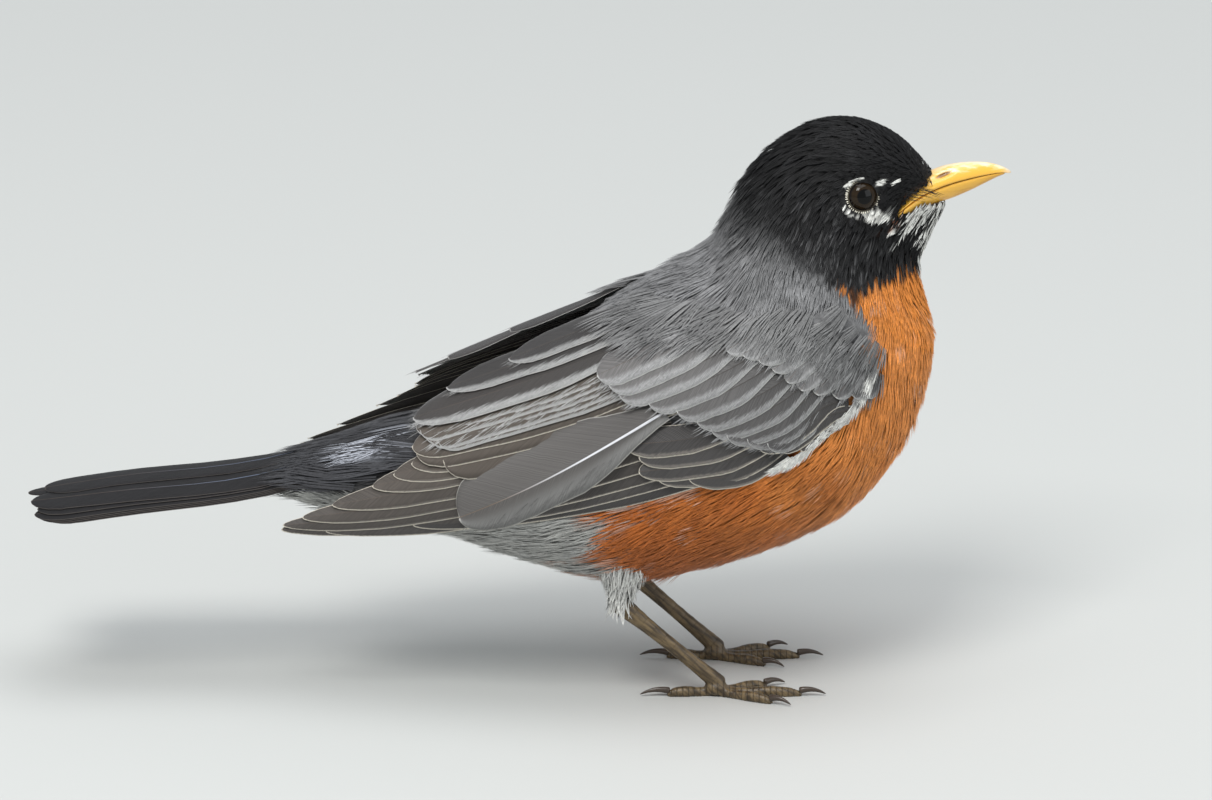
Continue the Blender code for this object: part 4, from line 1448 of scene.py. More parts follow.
@dataclass
class Wing:
    """One folded wing, built of separate quill feathers, coverts and soft feathers."""

    side: Side
    surface: Surface
    finishes: dict[Look, Material]
    soft_finish: Material
    quill: Row = (0.078, 0.065, 0.054)
    dark: Row = (0.05, 0.047, 0.046)
    grey: Row = (0.2, 0.2, 0.2)
    # x and angle of the soft feathers' front and back lines
    soft_front: Table = (
        (27, 7), (34, 14), (43, 32), (54, 45), (66, 54), (78.5, 60), (83.2, 69.5), (82.2, 85), (77.5, 92),
    )
    soft_back: Table = (
        (23, 9), (24, 20), (25.5, 32), (33, 39), (41, 44), (50, 50), (57, 57), (62, 65), (67, 72), (71, 79),
        (75, 84), (79, 84),
    )
    edge_line: Table = ((82, 79), (78.5, 87.2), (75.9, 93.8), (72, 98.9), (66.5, 101), (60, 98.5))
    edge_count: int = 150
    # lowest and highest x and angle of the shell
    low: Row = (-60, -25)
    high: Row = (90, 135)
    # pieces that stand for solids of the wing
    stands_for: tuple[tuple[str, str], ...] = (
        ("primaries", "primaries"), ("secondaries", "secondaries"), ("greater_coverts", "coverts"),
        ("loose_quill", "slipped_quill"),
    )

    def rows(self) -> tuple[FeatherRow, ...]:
        """The wing's rows, from the deepest to the outermost."""
        turn = 11 if self.side is Side.LEFT else 0
        quill, dark, grey = self.quill, self.dark, self.grey
        return (
            FeatherRow(
                "primaries", 9, ((20, 62), (30, 72), (40, 82), (48, 90), (54, 94.5)),
                ((-24.7, 56 - turn), (-28.8, 59.5 - turn), (-33.6, 63.5 - turn), (-42.7, 71 - 0.8 * turn),
                 (-49.5, 79 - 0.6 * turn), (-53.9, 86.5 - 0.4 * turn), (-54.2, 94 - 0.2 * turn), (-44, 99),
                 (-24, 101)),
                (Vane(4.4, 0.24, 1.8, upper_share=1.1), Vane(3.2, 0.3, 1.4)), (-1.5, -1.2),
                (quill, dark), ((0.9, 0.5, 1), (0.5, 0.7, 1)), (3, 5),
            ),
            FeatherRow(
                "inner_primaries", 3, ((34, 58), (36, 62), (38, 66)), ((-24.4, 45.5), (-23.4, 50.5), (-17.2, 61)),
                (Vane(5.2, 0.16, 2.2), Vane(6.4, 0.15, 2.4)), (-1, -0.6),
                (quill,), ((0.5, 0.3, 0.9),), (2, 3),
            ),
            FeatherRow(
                "secondaries", 5, ((32, 45), (34, 50), (36, 55)),
                ((-23.4, 33), (-22.4, 37), (-21.4, 41), (-20.2, 44.5), (-18.4, 47.5)),
                (Vane(5.2, 0.1, 2.4), Vane(4.8, 0.1, 2.4)), (-0.5, -0.1),
                (quill,), ((0.9, 1, 0.7),), (0.5, 0.5), Look.SECONDARY, 1.6,
            ),
            FeatherRow(
                "tertials", 3, ((30, 22), (30, 30), (31, 38)), ((-1.9, 14.2), (-16.2, 14), (-23.8, 27.5)),
                (Vane(5.4, 0.28, 2, upper_share=1.35), Vane(5.6, 0.2, 2.1, upper_share=1.35)), (0.2, 0.6),
                ((0.034, 0.031, 0.03), (0.038, 0.034, 0.032)), ((2.2, 0.8, 0.8), (2.4, 0.95, 0.8)),
                (0, 2.5), Look.SECONDARY, 0.5,
            ),
            FeatherRow(
                "primary_coverts", 5, ((50, 82), (56, 88), (60, 93), (61, 96)),
                ((24.5, 79), (27.5, 85), (27.5, 91), (31.9, 95.2), (39, 96.8)),
                (Vane(3.6, 0.24, 1.8), Vane(3, 0.3, 1.5)), (-0.5, -0.1),
                (dark,), ((1.1, 0.8, 1), (0.8, 0.8, 1)), (1, 1),
            ),
            FeatherRow(
                "greater_coverts", 10,
                ((46, 40), (50, 50), (55, 60), (61, 69), (68, 78), (73, 86), (75, 91.5)),
                ((18.3, 47.5), (21.3, 54), (24.3, 60), (32.5, 66.5), (38.5, 72.5), (42.5, 77.5), (46.3, 81.5),
                 (51.4, 85), (56.5, 89)),
                (Vane(4.8, 0.2, 2.2), Vane(3.4, 0.24, 2)), (0.4, 0.9),
                ((0.125, 0.12, 0.118), (0.06, 0.058, 0.058)), ((2.4, 1, 1), (1, 0.7, 1)),
                (0, 1), Look.COVERT, 0.5,
            ),
            FeatherRow(
                "alula", 3, ((74, 90.5), (76, 94), (75, 97.5)), ((54.9, 90), (60, 94), (64, 98.6)),
                (Vane(2.8, 0.3, 1.6), Vane(2, 0.3, 1.6)), (0.7, 0.8),
                (dark,), ((0.5, 0.6, 1),), (0.5, 0.5),
            ),
            FeatherRow(
                "median_coverts", 10, ((60, 52), (66, 60), (71, 66), (76, 72), (80, 78), (82.5, 84)),
                ((47.5, 54.8), (51.5, 59), (55.5, 64), (59, 70), (62.5, 76.5), (65.9, 82.2), (70.5, 88),
                 (75.1, 88.7), (78, 87.5)),
                (Vane(3.6, 0.4, 2.2), Vane(2.9, 0.45, 2.2)), (-0.2, 1.1),
                (grey, (0.075, 0.072, 0.072)), ((1.6, 0.9, 0.8), (1.2, 0.9, 0.8)), (0, 0), Look.COVERT, 0.4,
            ),
        )

    def build(self) -> list[Piece]:
        """Lays every row, the loose barbs, the soft feathers and the pale front edge."""
        made, barbs = [], []
        for seed, row in enumerate(self.rows()):
            layer = self.layer(row.name, row.look, 100 + seed)
            row.lay(layer)
            made.append(layer.finish(self.finishes[row.look]))
            barbs += layer.barbs
        if self.side is Side.RIGHT:
            made.append(self.slipped(barbs))
        at, heading, length, width, lifts, colours = (np.concatenate(part) for part in zip(*barbs))
        homes = 0.004 + 0.985 * np.clip((at - self.low) / np.subtract(self.high, self.low), 0, 1)
        sheet = Blades(self.surface, self.soft_finish, 0.75, ridge=0.04)
        made.append(sheet.lay(self.named("barbs"), at, heading, length, width, lifts, colours, homes))
        return [*made, self.shoulder(), self.front_edge()]

    def named(self, part: str) -> str:
        """Name of a piece of this wing."""
        return f"plume_{self.side.word}_{part}"

    def layer(self, part: str, look: Look, seed: int) -> VaneLayer:
        """An empty layer for one piece of this wing."""
        return VaneLayer(self.surface, self.side, self.named(part), look, np.random.default_rng(seed))

    def flow(self, at: Array) -> Array:
        """Direction of the soft feathers: backward on the shoulder and downward at the front."""
        _, _, along, around = self.surface.sample(at)
        down = 0.4 + 0.75 * ramp(35, 80, at[..., 0]) - 0.2 * ramp(40, 10, at[..., 1])
        return unit(-unit(along) + unit(around) * down[..., None])

    def shade(self, at: Array, points: Array, luck: Array, across: Array) -> Array:
        """Greys of the soft feathers, darker down the middle of each toward the coverts."""
        base = np.array(self.grey) * (0.86 + 0.12 * waves(points, 8, 9) + 0.12 * (luck - 0.5))[:, None]
        middle = 1 - 0.38 * ramp(0.7, 0.1, np.abs(across)) * ramp(52, 74, at[:, 1])
        return base * middle[:, None]

    def shoulder(self) -> Piece:
        """The soft grey feathers from the back to the front of the wing."""
        rng = np.random.default_rng(41)
        kind = TuftKind(9.5, 3.8, 15, 0.17, 13, 1.1, 0.1, 0.06, 0.78, 0.12, (0.84, 0.92, 1, 1.12))
        at = self.surface.spread((18, 4), (88, 104), 2.5, rng)
        at = at[inside(self.soft_front + self.soft_back[::-1], at)]
        front = ramp(30, 78, at[:, 0])
        size = 1.15 - 0.55 * front + 0.1 * ramp(50, 70, at[:, 1])
        feathers = SoftFeathers(self.surface, self.soft_finish, self.low, self.high)
        name, raised = self.named("shoulder"), 1.35 - 0.3 * front
        return feathers.lay(name, kind, at, self.flow(at), size, self.shade, rng, raised=raised)

    def front_edge(self) -> Piece:
        """The white fluff along the front edge."""
        rng = np.random.default_rng(44)
        count, line = self.edge_count, numbered(self.edge_line)
        kind = TuftKind(4.6, 0.6, 5, 0.1, 5, 0.7, 0.3, 0.2, 0.6, 0.1, (0.8, 0.95, 1, 1))
        share = rng.uniform(0, 1, count)
        at = curve(line, share) + rng.normal(0, 0.26, (count, 2)) * (1, 2.4)
        _, _, along, around = self.surface.sample(at)
        step = curve(line, np.minimum(share + 0.04, 1)) - curve(line, np.minimum(share, 0.96))
        flow = unit(unit(along * step[:, :1] + around * step[:, 1:]) + 0.35 * self.flow(at))
        feathers = SoftFeathers(self.surface, self.soft_finish, self.low, self.high)
        name, raised = self.named("front_edge"), np.full(count, 0.8)
        return feathers.lay(name, kind, at, flow, np.ones(count), self.edge_shade, rng, raised=raised)

    def edge_shade(self, at: Array, points: Array, luck: Array, across: Array) -> Array:
        """Whites of the front edge, some of them smoky."""
        return blend(Tone.WHITE.rgb() * 1.1, Tone.SMOKE.rgb(), 0.5 * luck)

    def slipped(self, barbs: list[tuple[Array, ...]]) -> Piece:
        """The large loose feather that lies across the right wing."""
        layer = self.layer("loose_quill", Look.LOOSE, 43)
        kind = Vane(6.3, 0.26, 2.6, 0.35, 1.55, 0.9, 0.2, 0.25, 0.1, 26)
        quill = Quill((33.5, 69.5), (-13.4, 98), (0.2, 0.35), (0.098, 0.092, 0.088), (4.6, 0.7, 0.9), 0.6)
        layer.add(quill, kind, 1.2)
        barbs += layer.barbs
        return layer.finish(self.finishes[Look.LOOSE])


@dataclass
class Tail:
    """Twelve folded tail feathers, with the coverts over and under their roots."""

    finish: Material
    soft_finish: Material
    low: Row = (-6, -20)
    high: Row = (96, 20)
    # distance behind the root, height, drop at 14 mm from the middle
    sheet: Table = (
        (-6, 63.6, 3), (4, 61.2, 3.2), (14, 58, 4), (24, 54.6, 3.8), (34, 51.6, 2.2), (46, 49.4, 1.5),
        (66, 47.4, 1.5), (90, 43.9, 1.5), (96, 43.2, 1.5),
    )
    root_x: float = -24
    # where each shaft lies at its tip and how far it reaches, from the topmost feather down
    left: Table = ((3, 85.4), (6.5, 89.6), (8.4, 89.2), (9.8, 88.6), (10.8, 87.4), (11.6, 85.8))
    right: Table = ((-4.2, 88.2), (-8.6, 86.6), (-10.6, 87.2), (-10.9, 86.6), (-11.2, 86), (-11.5, 84.8))
    colour: Row = (0.0155, 0.015, 0.016)

    def surface(self) -> Surface:
        """The tail's sheet over distance from the root and distance from the middle."""
        along = np.linspace(self.low[0], self.high[0], 140)
        across = np.linspace(self.low[1], self.high[1], 81)
        top, drop = curve(self.sheet, along).T[:, :, None]
        z = top - drop * (across[None] / 14) ** 2
        x = np.broadcast_to(self.root_x - along[:, None], z.shape)
        points = np.stack([x, np.broadcast_to(across[None], z.shape), z], -1)
        return Surface(along, across, points, points - (0, 0, 20))

    def build(self) -> list[Piece]:
        """Lays the feathers of both sides and the coverts."""
        sheet = self.surface()
        made = []
        for side, places in zip(Side, (self.right, self.left)):
            rng = np.random.default_rng(60 + side)
            layer = VaneLayer(sheet, side, f"tail_{side.word}_quills", Look.TAIL, rng)
            for order, (middle, reach) in list(enumerate(places))[::-1]:
                top = order == 0
                kind = Vane(6.2 if top else 4.6, 0.1, 2.2, 0.35, tilt=0.12, camber=0.12, rows=22, thickness=0.2)
                if top or side is Side.RIGHT:
                    height = (0.75 if side is Side.LEFT else 0.45) - 0.26 * order
                else:
                    height = -0.5 - 0.2 * order
                root = (0, middle * 0.35 + side * 0.5)
                colour = np.array(self.colour) * (1 + rng.normal(0, 0.06))
                bow = side * (2.4 if top else 1.6)
                quill = Quill(root, (reach, middle), (height - 0.3, height), colour, (0.4, 0.4, 0.8), bow)
                layer.add(quill, kind)
            made.append(layer.finish(self.finish))
        return [*made, self.over(sheet), self.under(sheet)]

    def over(self, sheet: Surface) -> Piece:
        """The long soft feathers over the roots of the tail."""
        rng = np.random.default_rng(62)
        kind = TuftKind(19, 4.4, 15, 0.22, 5, 0.9, 0.2, 0.05, 0.7, 0.15, (0.75, 0.9, 1, 1.35))
        at = sheet.spread((-6, -17), (17, 17), 3, rng)
        _, _, along, around = sheet.sample(at)
        flow = unit(unit(along) - unit(around) * (0.02 * at[:, 1:]))
        size = 1 + 0.25 * (ramp(0, -8, at[:, 1]) - 0.4) - 0.2 * ramp(9, 16, np.abs(at[:, 1]))
        feathers = SoftFeathers(sheet, self.soft_finish, self.low, self.high)
        raised = np.full(len(at), 1.3)
        return feathers.lay("tail_upper_coverts", kind, at, flow, size, self.shade, rng, raised=raised)

    def shade(self, at: Array, points: Array, luck: Array, across: Array) -> Array:
        """Dark slate, with a few bluish grey feathers toward the sides."""
        patch = np.hypot((at[:, 0] - 9) / 9, (at[:, 1] + 7.5) / 6)
        share = ramp(1.1, 0.4, patch) * ramp(0.35, 0.7, luck + 0.3 * np.abs(across) - 0.15) + 0.05 * luck
        return blend(np.array((0.024, 0.024, 0.027)), np.array((0.4, 0.42, 0.47)), np.clip(share, 0, 1))

    def under(self, sheet: Surface) -> Piece:
        """The feathers under the roots of the tail, white in life, here coloured dark as painted shade."""
        rng = np.random.default_rng(63)
        kind = TuftKind(17, 3.4, 11, 0.24, 6, 0.6, -0.3, 0, 0.2, 0.1, (0.8, 0.9, 1, 1))
        at = sheet.spread((14, -8), (33, 8), 2.6, rng)
        flow, size, raised = unit(sheet.sample(at)[2]), np.ones(len(at)), np.full(len(at), -2.2)
        feathers = SoftFeathers(sheet, self.soft_finish, self.low, self.high)
        return feathers.lay("tail_lower_coverts", kind, at, flow, size, self.under_shade, rng, raised=raised)

    def under_shade(self, at: Array, points: Array, luck: Array, across: Array) -> Array:
        """Painted shade in place of their white: most of them dark, a few smoky grey."""
        # painted shade: smoky grey darkened toward near black
        return blend(Tone.SMOKE.rgb(), Tone.SMOKE.rgb() * 0.15, ramp(0.1, 0.5, luck))


# ---- skin


@dataclass
class Skin:
    """One closed skin under the feathers, in place of the solids of flesh."""

    body: Surface
    markings: Markings
    finish: Material
    voxel: float = 0.9
    depth: float = 1.1
    face_depth: float = 0.55
    nodes: tuple[str, ...] = ("head", "neck", "trunk", "thigh_left", "thigh_right")
    fillers: tuple[str, ...] = ("eye_left", "eye_right", "wing_left_coverts", "wing_right_coverts")

    def build(self) -> Piece:
        """Joins copies of the solids, closes their gaps, smooths and sinks them."""
        skin = join([self.copied(name) for name in (*self.nodes, *self.fillers)])
        apply_modifier(skin, "REMESH", mode="VOXEL", voxel_size=self.voxel * MM)
        apply_modifier(skin, "SMOOTH", factor=0.5, iterations=6)
        points = np.empty(len(skin.data.vertices) * 3)
        skin.data.vertices.foreach_get("co", points)
        points = points.reshape(-1, 3) / MM
        x, y, z = points.T
        normals = np.array([v.normal for v in skin.data.vertices])
        station = self.nearest(points)
        depth = self.depth + 0.35 + (self.face_depth - self.depth) * ramp(10, 12.5, station[:, 0])
        # how far from the corner of the mouth, where the skin sinks deep and straight in
        gape = np.hypot((x - 89.5) / 5, (z - (116 + 0.58 * (x - 89))) / 2.3)
        normals = blend(normals, self.body.sample(station)[1], ramp(2.2, 1.6, gape))
        depth = depth + 1.7 * ramp(1.5, 0.7, gape)
        sunk = points - normals * depth[:, None]
        skin.data.vertices.foreach_set("co", (sunk * MM).ravel())
        skin.data.update()
        skin = settle(skin, "skin", self.finish)
        colours = self.markings.colour(station, points, np.full(len(points), 0.5))
        colours[(z < 31) & (np.abs(y) > 5) & (x < 34)] = Tone.WHITE.rgb() * 0.8
        set_colours(skin, "tint", blend(colours, Tone.GAPE.rgb() * 0.25, ramp(1.8, 1.1, gape)))
        return skin

    def copied(self, name: str) -> Piece:
        """A merged copy of a solid, slightly swollen so that it meets its neighbours."""
        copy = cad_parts[name].copy()
        copy.data = copy.data.copy()
        bpy.context.scene.collection.objects.link(copy)
        copy.parent = None
        for key in list(copy.keys()):
            del copy[key]
        only(copy)
        mode("EDIT")
        bpy.ops.mesh.select_all(action="SELECT")
        bpy.ops.mesh.remove_doubles(threshold=1e-6)
        mode("OBJECT")
        apply_modifier(copy, "DISPLACE", strength=0.35 * MM, mid_level=0)
        return copy

    def nearest(self, points: Array) -> Array:
        """Station and angle of the body's place nearest to each point."""
        station, angle = np.meshgrid(self.body.u[::3], self.body.v[::3], indexing="ij")
        grid = np.stack([station, angle], -1).reshape(-1, 2)
        places = self.body.sample(grid)[0]
        tree = KDTree(len(grid))
        for i, place in enumerate(places):
            tree.insert(place, i)
        tree.balance()
        return grid[[tree.find(point)[1] for point in points]]


# ---- bill, eyes and legs


@dataclass
class Bill:
    """Upper and lower bill."""

    finish: Material
    # x, ridge z, gape z, keel z, half width
    stations: Table = (
        (84.6, 114.2, 113.4, 111.6, 9.4), (86.6, 115.8, 114.9, 111.6, 9.6), (89, 118.4, 116.5, 112.2, 8.4),
        (91, 120.4, 117.6, 113.2, 7.1), (95, 122.9, 119.1, 114.7, 4.9), (99, 124.2, 120.3, 116, 3.6),
        (103.5, 124.7, 121.3, 118, 2.6), (107.5, 124.5, 122, 120.1, 1.8), (110.8, 123.5, 122.3, 121.7, 1),
        (112.6, 122.5, 121.9, 121.6, 0.45),
    )
    rings: int = 22
    sides: int = 10
    nostril: Row = (97, 122.2)
    nostril_size: Row = (2, 0.42)
    nostril_slope: float = 0.32

    def build(self) -> list[Piece]:
        """Draws out both halves, dents the nostrils and marks ridge and edge."""
        halves = [self.half("bill_top", True), self.half("bill_bottom", False)]
        self.dent(halves[0])
        for piece, is_upper in zip(halves, (1, 0)):
            points = np.array([vert.co for vert in piece.data.vertices]) / MM
            ridge, gape, keel, _ = curve(self.stations, points[:, 0]).T
            far = ridge if is_upper else keel
            rise = (points[:, 2] - gape) / np.where(np.abs(far - gape) < 0.2, 0.2, far - gape)
            along = (points[:, 0] - 90) / 22.6
            set_vectors(piece, "horn", np.stack([rise, along, np.full(len(rise), is_upper)], -1))
        return halves

    def half(self, name: str, is_upper: bool) -> Piece:
        """One half of the bill, from the head to the tip."""
        last = self.stations[-1][0] if is_upper else 111.2
        sections = []
        for x in np.linspace(self.stations[0][0], last, self.rings):
            ridge, gape, keel, half_width = curve(self.stations, np.array(x))
            edge = gape + (0.03 if is_upper else -0.03)
            far = ridge if is_upper else keel
            width = half_width * (1 if is_upper else 0.9 + 0.08 * float(ramp(97, 90, np.array(x))))
            turn = np.linspace(0, math.pi, self.sides + 1)
            y = width * np.cos(turn) * (1 - 0.25 * np.sin(turn))
            z = edge + (far - edge) * np.sin(turn) ** 0.85
            inner = np.array([[-width * 0.55, edge], [0, edge], [width * 0.55, edge]])
            y = np.concatenate([y, inner[:, 0]])
            z = np.concatenate([z, inner[:, 1]])
            sections.append(np.stack([np.full(len(y), x), y, z], -1))
        return extruded(name, sections, self.finish, 2)

    def dent(self, piece: Piece) -> None:
        """Presses the nostrils into the sides."""
        for vert in piece.data.vertices:
            x, y, z = vert.co / MM
            away = ((x - self.nostril[0]) / self.nostril_size[0]) ** 2
            away += ((z - self.nostril[1] - self.nostril_slope * (x - self.nostril[0])) / self.nostril_size[1]) ** 2
            vert.co.y -= math.copysign(0.9 * math.exp(-away), y) * MM


@dataclass(frozen=True)
class BillFinish:
    """Yellow horn with a painted highlight along the ridge, pale at the tip, deeper below, with dark nostrils."""

    name: str
    nostril: Row
    nostril_size: Row
    nostril_slope: float
    yellow: Row = (0.78, 0.43, 0.05)
    # the pale colour is a painted highlight along the ridge
    pale: Row = (0.82, 0.69, 0.47)
    deep: Row = (0.58, 0.27, 0.018)
    tip: Row = (0.6, 0.5, 0.38)

    def build(self) -> Material:
        """The material, drawn by place along and across the bill."""
        graph = Graph(self.name, Roughness=0.3, Coat_Weight=0.3, Coat_Roughness=0.15)
        place = graph.place()
        x, _, z = graph.parts(place)
        rise, along, upper = graph.parts(graph.measure("horn"))
        streaks = graph.noise(graph.vector("MULTIPLY", place, (0.3, 1, 1)), 1100, 4)
        uneven = rise + graph.range(streaks, 0.25, 0.75, -0.25, 0.25)
        # painted highlight: the upper bill pales toward its ridge, less near its root
        ridge = graph.range(uneven, 0.55, 1, 0, 0.9) * graph.range(along, 0.1, 0.45, 0.35, 1)
        top = graph.mix(ridge, self.yellow, self.pale)
        top = graph.mix(graph.range(along, 0.88, 1, 0, 0.8), top, self.tip)
        low = graph.mix(graph.range(uneven, 0.35, 1.1, 0, 0.8), self.yellow, self.deep)
        low = graph.mix(graph.range(along, 0.55, 1, 0, 0.5), low, self.deep)
        colour = graph.mix(upper, low, top)
        line = graph.range(rise, 0.02, 0.1, 0.45, 0) * graph.range(along, 0.12, 0.35, 0, 1)
        colour = graph.mix(line, colour, (0.2, 0.085, 0.012))
        from_x = x - self.nostril[0] * MM
        across = from_x / (self.nostril_size[0] * MM)
        above = (z - self.nostril[1] * MM - from_x * self.nostril_slope) / (self.nostril_size[1] * MM)
        away = graph.math("POWER", across, 2) + graph.math("POWER", above, 2)
        colour = graph.mix(graph.range(away, 0.2, 1.2, 0.9, 0), colour, (0.16, 0.06, 0.015))
        graph.bump(streaks, 0.00004)
        return graph.colour(colour)


@dataclass
class Eye:
    """One eyeball with the beaded ring of skin round it."""

    side: Side
    finish: Material
    rim_finish: Material
    bead_finish: Material
    radius: float = 4.6
    ring_height: float = 3.12
    ring_radius: float = 3.46
    ring_thickness: float = 0.17
    beads: int = 48
    bead_size: Row = (0.36, 0.14, 0.13)

    def build(self) -> list[Piece]:
        """Makes the ball, the rim and the beads."""
        place, look = EYES.on(self.side)
        centre, axis = Vector(place) * MM, Vector(look).normalized()
        turn = axis.to_track_quat("Z", "Y").to_euler()
        deselect()
        bpy.ops.mesh.primitive_uv_sphere_add(
            segments=48, ring_count=32, radius=self.radius * MM, location=centre, rotation=turn
        )
        ball = bpy.context.object
        mode("EDIT")
        bpy.ops.mesh.select_all(action="DESELECT")
        shape = bmesh.from_edit_mesh(ball.data)
        for vert in shape.verts:
            vert.select = vert.co.z > self.radius * MM * 0.86
        shape.select_flush_mode()
        bmesh.update_edit_mesh(ball.data)
        bpy.ops.transform.translate(value=axis * 0.22 * MM, use_proportional_edit=True, proportional_size=1.6 * MM)
        ball = settle(ball, f"eyeball_{self.side.word}", self.finish)
        deselect()
        bpy.ops.mesh.primitive_torus_add(
            major_radius=self.ring_radius * MM, minor_radius=self.ring_thickness * MM, major_segments=72,
            minor_segments=10, location=centre + axis * self.ring_height * MM, rotation=turn,
        )
        rim = settle(bpy.context.object, f"eye_rim_{self.side.word}", self.rim_finish)
        return [ball, rim, self.bead_ring(np.array(centre) / MM, np.array(axis))]

    def bead_ring(self, centre: Array, out: Array) -> Piece:
        """The ring of tiny pale feathers, as one joined mesh of short rays."""
        rng = np.random.default_rng(70)
        deselect()
        bpy.ops.mesh.primitive_ico_sphere_add(subdivisions=1, radius=MM)
        bead = bpy.context.object
        template = np.array([v.co for v in bead.data.vertices]) / MM
        faces = np.array([p.vertices[:] for p in bead.data.polygons])
        bpy.data.objects.remove(bead)
        first = unit(np.cross(out, (0, 0, 1)))
        second = np.cross(out, first)
        points = []
        for i in range(self.beads):
            turn = 2 * math.pi * (i + rng.uniform(-0.2, 0.2)) / self.beads
            ray = first * math.cos(turn) + second * math.sin(turn)
            place = centre + out * (self.ring_height - 0.02) + ray * (self.ring_radius + 0.42)
            shape = template * (np.array(self.bead_size) * rng.uniform(0.75, 1.2))
            points.append(place + shape[:, :1] * ray + shape[:, 1:2] * np.cross(out, ray) + shape[:, 2:] * out)
        triangles = np.concatenate([faces + i * len(template) for i in range(self.beads)])
        name, no_quads = f"eye_ring_{self.side.word}", np.empty((0, 4), int)
        return make_object(name, np.concatenate(points), no_quads, triangles, self.bead_finish)


@dataclass
class Leg:
    """One leg: scaled shank, four toes and their claws."""

    side: Side
    skin_finish: Material
    claw_finish: Material
    ankle: Row = (23.2, 14.5, 23)
    foot: Row = (45.5, 12.5, 3.4)
    shank_radii: Table = ((0, 2.3), (0.25, 1.75), (0.5, 1.55), (0.75, 1.6), (1, 1.9))
    # heading, length, width, claw length
    toes: tuple[tuple[str, Row], ...] = (
        ("hind", (176, 11.5, 2.5, 6.2)), ("inner", (-24, 13, 2.2, 4.6)), ("middle", (2, 20, 2.4, 5.4)),
        ("outer", (26, 14.5, 2.2, 4.6)),
    )
    toe_height: float = 2.2
    claw_root: float = 0.9
    scute: float = 3.1
    # share of a scute's length, and how far the scute stands out there
    scute_steps: Table = ((0, 0.1), (0.12, 0.02), (0.55, 0), (0.93, 0.06))
    voxel: float = 0.3
    flat: float = 0.22

    def build(self) -> tuple[Piece, dict[str, Piece]]:
        """Makes the shank and toes as one piece, and the claws by toe name."""
        parts = [self.shank(), self.hub()]
        claws = {}
        for name, sizes in self.toes:
            parts.append(self.toe(name, sizes))
            claws[name] = self.claw(name, sizes)
        leg = join(parts)
        apply_modifier(leg, "REMESH", mode="VOXEL", voxel_size=self.voxel * MM)
        apply_modifier(leg, "SMOOTH", factor=0.5, iterations=4)
        for vert in leg.data.vertices:
            if vert.co.z < self.flat * MM:
                vert.co.z = 0
        return settle(leg, f"leg_{self.side.word}", self.skin_finish), claws

    def shank(self) -> Piece:
        """The lower leg, with overlapping scutes down its front."""
        start, end = (np.array(place) * (1, self.side, 1) for place in (self.ankle, self.foot))
        length = float(np.linalg.norm(end - start))
        ahead = unit(end - start)
        front = unit(np.cross(ahead, (0, 1, 0)))
        if front[0] < 0:
            front = -front
        beside = np.cross(ahead, front)
        turn = np.linspace(0, 2 * math.pi, 16, endpoint=False)
        outline = np.cos(turn)[:, None] * front * 1.08 + np.sin(turn)[:, None] * beside * 0.86
        sections = []
        marks = np.concatenate([np.arange(0, length, self.scute), [length]])
        for low, high in zip(marks, marks[1:]):
            for share, step in self.scute_steps:
                place = low + (high - low) * share
                radius = float(curve(self.shank_radii, np.array(place / length))[0])
                bulge = step * np.clip(np.cos(turn) + 0.35, 0, 1)
                sections.append(start + ahead * place + outline * (radius + bulge)[:, None])
        last = sections[-1] - sections[-1].mean(0)
        sections += [end + ahead * 1.1 + last, end + ahead * 1.9 + last * 0.7]
        return extruded("shank", sections, self.skin_finish)

    def hub(self) -> Piece:
        """The joint where shank and toes meet."""
        deselect()
        x, y, _ = self.foot
        bpy.ops.mesh.primitive_uv_sphere_add(
            segments=20, ring_count=12, radius=MM, location=(x * MM, y * self.side * MM, 1.9 * MM)
        )
        mode("EDIT")
        bpy.ops.mesh.select_all(action="SELECT")
        bpy.ops.transform.resize(value=(2.7, 2.3, 1.9))
        mode("OBJECT")
        return settle(bpy.context.object, "hub", self.skin_finish)

    def frame(self, heading: float) -> tuple[Array, Array]:
        """Direction along a toe and across it."""
        turn = math.radians(heading)
        ahead = np.array([math.cos(turn), math.sin(turn) * self.side, 0])
        return ahead, np.array([-ahead[1], ahead[0], 0])

    def toe(self, name: str, sizes: Row) -> Piece:
        """A toe with scutes on top and pads under it."""
        heading, length, width, _ = sizes
        ahead, aside = self.frame(heading)
        start = np.array(self.foot) * (1, self.side, 0)
        turn = np.linspace(0, 2 * math.pi, 12, endpoint=False)
        sections = []
        for i, along in enumerate(np.linspace(-0.06, 1, 5 + int(length / 1.1))):
            pads = 1 + 0.09 * math.cos(along * length / (length / 3.2) * math.pi)
            end = max(1 - max(along - 0.86, 0) / 0.14 * 0.5, 0.4)
            begin = 0.75 + 0.25 * min(max(along, 0) / 0.1, 1)
            size = pads * end * begin * (1 + (0.035 if i % 2 else -0.02))
            height = np.maximum(np.sin(turn) * 0.62 + 0.38, 0) * self.toe_height * size
            rise = self.toe_height * 0.35 * max(0.12 - along, 0) / 0.18
            ring = start + ahead * (length * along) + aside * (np.cos(turn) * width / 2 * size)[:, None]
            ring[:, 2] += height + rise
            sections.append(ring)
        return extruded(f"toe_{name}", sections, self.skin_finish)

    def claw(self, name: str, sizes: Row) -> Piece:
        """A curved claw that comes down to the floor."""
        heading, toe_length, _, length = sizes
        ahead, _ = self.frame(heading)
        start = np.array(self.foot) * (1, self.side, 0) + ahead * (toe_length - self.claw_root)
        start[2] = 1.3
        share = np.linspace(0, 1, 9)
        path = start + ahead * ((length + self.claw_root) * share)[:, None]
        path[:, 2] += 0.85 * np.sin(np.pi * share * 0.62) - 1.55 * share**2
        radii = 0.72 * (1 - share) ** 0.7 + 0.07
        sections = tube_sections(path, radii, 10, 1.15)
        return extruded(f"talon_{self.side.word}_{name}", sections, self.claw_finish)


